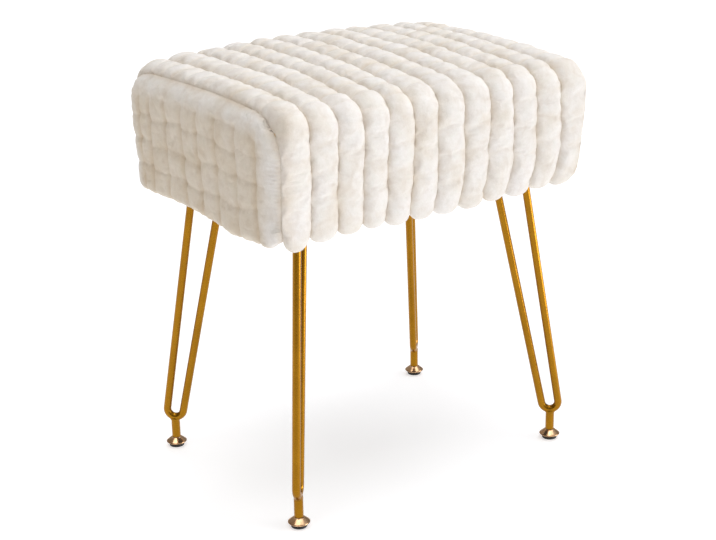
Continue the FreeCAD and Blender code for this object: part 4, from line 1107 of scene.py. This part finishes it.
def add_dust_cover():
    """A sheet of nonwoven cloth, its edge folded under, stapled tight under the base board. It sags a little between the staples and the leg plates."""
    nx, ny = ((187, 127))
    x, y = np.meshgrid(np.linspace(-186.0, 186.0, nx), np.linspace(-126.0, 126.0, ny))
    P = np.stack([x, y, np.zeros_like(x)], 2).reshape(-1, 3)
    edge = np.minimum(186.0 - np.abs(x), 126.0 - np.abs(y))
    px, py = np.abs(x) - 143.62, np.abs(y) - 92.42
    plate = np.hypot(np.clip(np.abs(px) - 30.0, 0, None), np.clip(np.abs(py) - 30.0, 0, None))
    plate = np.where((np.abs(px) <= 30) & (np.abs(py) <= 30), 0.0, plate)
    held = np.minimum(smooth01((edge - 12.0) / 60.0), smooth01(plate / 55.0))
    ripple = (0.5 + 0.5 * vnoise(P * np.array([1.0, 0.35, 1.0]), 17.0, 91).reshape(x.shape)) * 0.45 + 0.25 * vnoise(P, 9.0, 92).reshape(x.shape)
    pull = 0.30 * np.cos(2 * math.pi * np.where(np.abs(y) > np.abs(x) - 60, x, y) / 32.0) * np.exp(-np.clip(edge - 6.0, 0, None) / 10.0) * smooth01((edge - 4.0) / 6.0)
    sag = 1.15 * held + ripple * smooth01((edge - 10.0) / 12.0) * smooth01(plate / 8.0) * 0.7
    sag = sag + np.where(plate > 0, np.abs(pull) * 0.6, 0.0)
    folded = 0.28 * (1 - smooth01((edge - 13.0) / 1.2))
    top = 320.56 - sag
    under = top - 0.26 - folded
    plate_near = (1 - smooth01(plate / 5.0))
    under = under * (1 - plate_near) + np.maximum(under, 320.05) * plate_near
    upper = np.stack([x, y, top], 2).reshape(-1, 3)
    lower = np.stack([x, y, under], 2).reshape(-1, 3)
    start = nx * ny
    faces = [tuple(f) for f in grid_faces(ny, nx)] + [tuple(f) for f in grid_faces(ny, nx, True, start)]
    a, b = loop_of(ny, nx), loop_of(ny, nx, start)
    for k in range(len(a)):
        k2 = (k + 1) % len(a)
        faces.append((a[k2], a[k], b[k], b[k2]))
    ob = mesh_object("dust_cover_sheet", np.vstack([upper, lower]), faces)
    outward(ob)
    finish_piece(ob, "nonwoven", "stool", "dust_cover")


add_feet()
add_dust_cover()


# ---------------------------------------------------------------- floor, light, camera
def make_stage():
    mat, nt, b, vec = new_material("floor_white")
    nt.links.new(ramp_node(nt, noise_node(nt, vec, 3.0, 2.0, 0.5), [(0.3, (0.60, 0.60, 0.61)), (0.7, (0.63, 0.63, 0.64))]), b.inputs["Base Color"])
    b.inputs["Roughness"].default_value = 0.8
    b.inputs["Specular IOR Level"].default_value = 0.2
    b.inputs["Emission Color"].default_value = (1, 1, 1, 1)
    b.inputs["Emission Strength"].default_value = 0.58
    n = 64
    pts = [(0, 0, 0)] + [(12000 * math.cos(2 * math.pi * k / n), 12000 * math.sin(2 * math.pi * k / n), 0) for k in range(n)]
    faces = [(0, 1 + k, 1 + (k + 1) % n) for k in range(n)]
    ob = mesh_object("studio_floor", pts, faces, smooth=False)
    set_material(ob, mat)
    world = bpy.data.worlds.new("studio")
    bpy.context.scene.world = world
    world.use_nodes = True
    wt = world.node_tree
    wt.nodes.clear()
    out = wt.nodes.new("ShaderNodeOutputWorld")
    tc = wt.nodes.new("ShaderNodeTexCoord")
    sep = wt.nodes.new("ShaderNodeSeparateXYZ")
    wt.links.new(tc.outputs["Generated"], sep.inputs[0])
    r = wt.nodes.new("ShaderNodeValToRGB")
    el = r.color_ramp.elements
    el[0].position, el[0].color = 0.0, (0.28, 0.28, 0.29, 1)
    el[1].position, el[1].color = 0.75, (1.0, 1.0, 1.0, 1)
    wt.links.new(sep.outputs["Z"], r.inputs["Fac"])
    side = wt.nodes.new("ShaderNodeValToRGB")
    el = side.color_ramp.elements
    el[0].position, el[0].color = 0.0, (0.22, 0.17, 0.11, 1)
    el[1].position, el[1].color = 1.0, (0.55, 0.55, 0.56, 1)
    for place, tone in ((0.25, (0.34, 0.295, 0.24, 1)), (0.45, (0.70, 0.675, 0.65, 1)), (0.60, (0.98, 0.98, 0.98, 1)), (0.78, (0.80, 0.80, 0.82, 1))):
        mid = el.new(place)
        mid.color = tone
    half = wt.nodes.new("ShaderNodeMath")
    half.operation = "MULTIPLY_ADD"
    half.inputs[1].default_value = 0.5
    half.inputs[2].default_value = 0.5
    wt.links.new(sep.outputs["X"], half.inputs[0])
    wt.links.new(half.outputs[0], side.inputs["Fac"])
    both = wt.nodes.new("ShaderNodeMix")
    both.data_type = "RGBA"
    both.blend_type = "MULTIPLY"
    both.inputs["Factor"].default_value = 1.0
    wt.links.new(r.outputs["Color"], both.inputs[6])
    wt.links.new(side.outputs["Color"], both.inputs[7])
    soft = wt.nodes.new("ShaderNodeBackground")
    soft.inputs["Strength"].default_value = 0.78
    wt.links.new(both.outputs[2], soft.inputs["Color"])
    plain = wt.nodes.new("ShaderNodeBackground")
    plain.inputs["Color"].default_value = (1, 1, 1, 1)
    plain.inputs["Strength"].default_value = 1.0
    lp = wt.nodes.new("ShaderNodeLightPath")
    mix = wt.nodes.new("ShaderNodeMixShader")
    wt.links.new(lp.outputs["Is Camera Ray"], mix.inputs["Fac"])
    wt.links.new(soft.outputs[0], mix.inputs[1])
    wt.links.new(plain.outputs[0], mix.inputs[2])
    wt.links.new(mix.outputs[0], out.inputs["Surface"])


def sun_light(name, toward, angle, strength, color=(1, 1, 1)):
    """A broad soft light from far away, from the direction toward."""
    li = bpy.data.lights.new(name, "SUN")
    li.angle = math.radians(angle)
    li.energy = strength
    li.color = color
    ob = bpy.data.objects.new(name, li)
    bpy.context.scene.collection.objects.link(ob)
    ob.matrix_world = Vector(toward).normalized().to_track_quat("Z", "Y").to_matrix().to_4x4()
    return ob


def area_light(name, at, look, size, power, color=(1, 1, 1)):
    li = bpy.data.lights.new(name, "AREA")
    li.shape = "RECTANGLE"
    li.size, li.size_y = size
    li.energy = power
    li.color = color
    ob = bpy.data.objects.new(name, li)
    bpy.context.scene.collection.objects.link(ob)
    at, look = Vector(at), Vector(look)
    ob.matrix_world = Matrix.Translation(at) @ (at - look).to_track_quat("Z", "Y").to_matrix().to_4x4()
    return ob


make_stage()
sun_light("key", (1.0, -1.0, 0.34), 32.0, 1.10, (1.0, 0.99, 0.98))
sun_light("top", (0.22, 0.05, 1.0), 50.0, 1.12, (0.925, 0.95, 1.0))
sun_light("fill", (-0.30, -0.10, 1.0), 36.0, 0.60, (0.97, 0.985, 1.0))

# a low strip on the right that only the gold paint answers to: it draws the bright line down each rod
strip = area_light("rod_strip", (0.95, -0.95, 0.10), (0.0, 0.0, 0.16), (0.7, 0.16), 3.2, (1.0, 0.97, 0.90))
strip.visible_camera = False
gold_only = bpy.data.collections.new("gold_only")
for ob in list(bpy.context.scene.objects):
    if ob.type == "MESH" and ob.name.startswith(("hairpin_", "foot_weld_", "foot_sleeve_")) and not ob.hide_render:
        gold_only.objects.link(ob)
strip.light_linking.receiver_collection = gold_only

bpy.context.scene.view_settings.view_transform = "Standard"
bpy.context.scene.view_settings.look = "None"
bpy.context.scene.view_settings.exposure = 0.0
bpy.context.scene.view_settings.gamma = 1.0


def make_camera():
    yaw, pitch, roll = math.radians(-36.143), math.radians(18.005), math.radians(0.958)
    cy, sy, cp, sp = math.cos(yaw), math.sin(yaw), math.cos(pitch), math.sin(pitch)
    f = np.array([-sy * cp, cy * cp, -sp])
    r = np.array([cy, sy, 0.0])
    d = np.cross(f, r)
    cr, sr = math.cos(roll), math.sin(roll)
    right, down = cr * r + sr * d, -sr * r + cr * d
    m = Matrix.Identity(4)
    for k in range(3):
        m[k][0], m[k][1], m[k][2] = right[k], -down[k], -f[k]
    m[0][3], m[1][3], m[2][3] = -0.93622, -1.27681, 0.72901
    cam = bpy.data.cameras.new("photo_camera")
    cam.sensor_fit = "HORIZONTAL"
    cam.sensor_width = 36.0
    cam.lens = 1449.083 / 716.0 * 36.0
    cam.clip_end = 100.0
    ob = bpy.data.objects.new("photo_camera", cam)
    bpy.context.scene.collection.objects.link(ob)
    ob.matrix_world = m
    bpy.context.scene.camera = ob


make_camera()
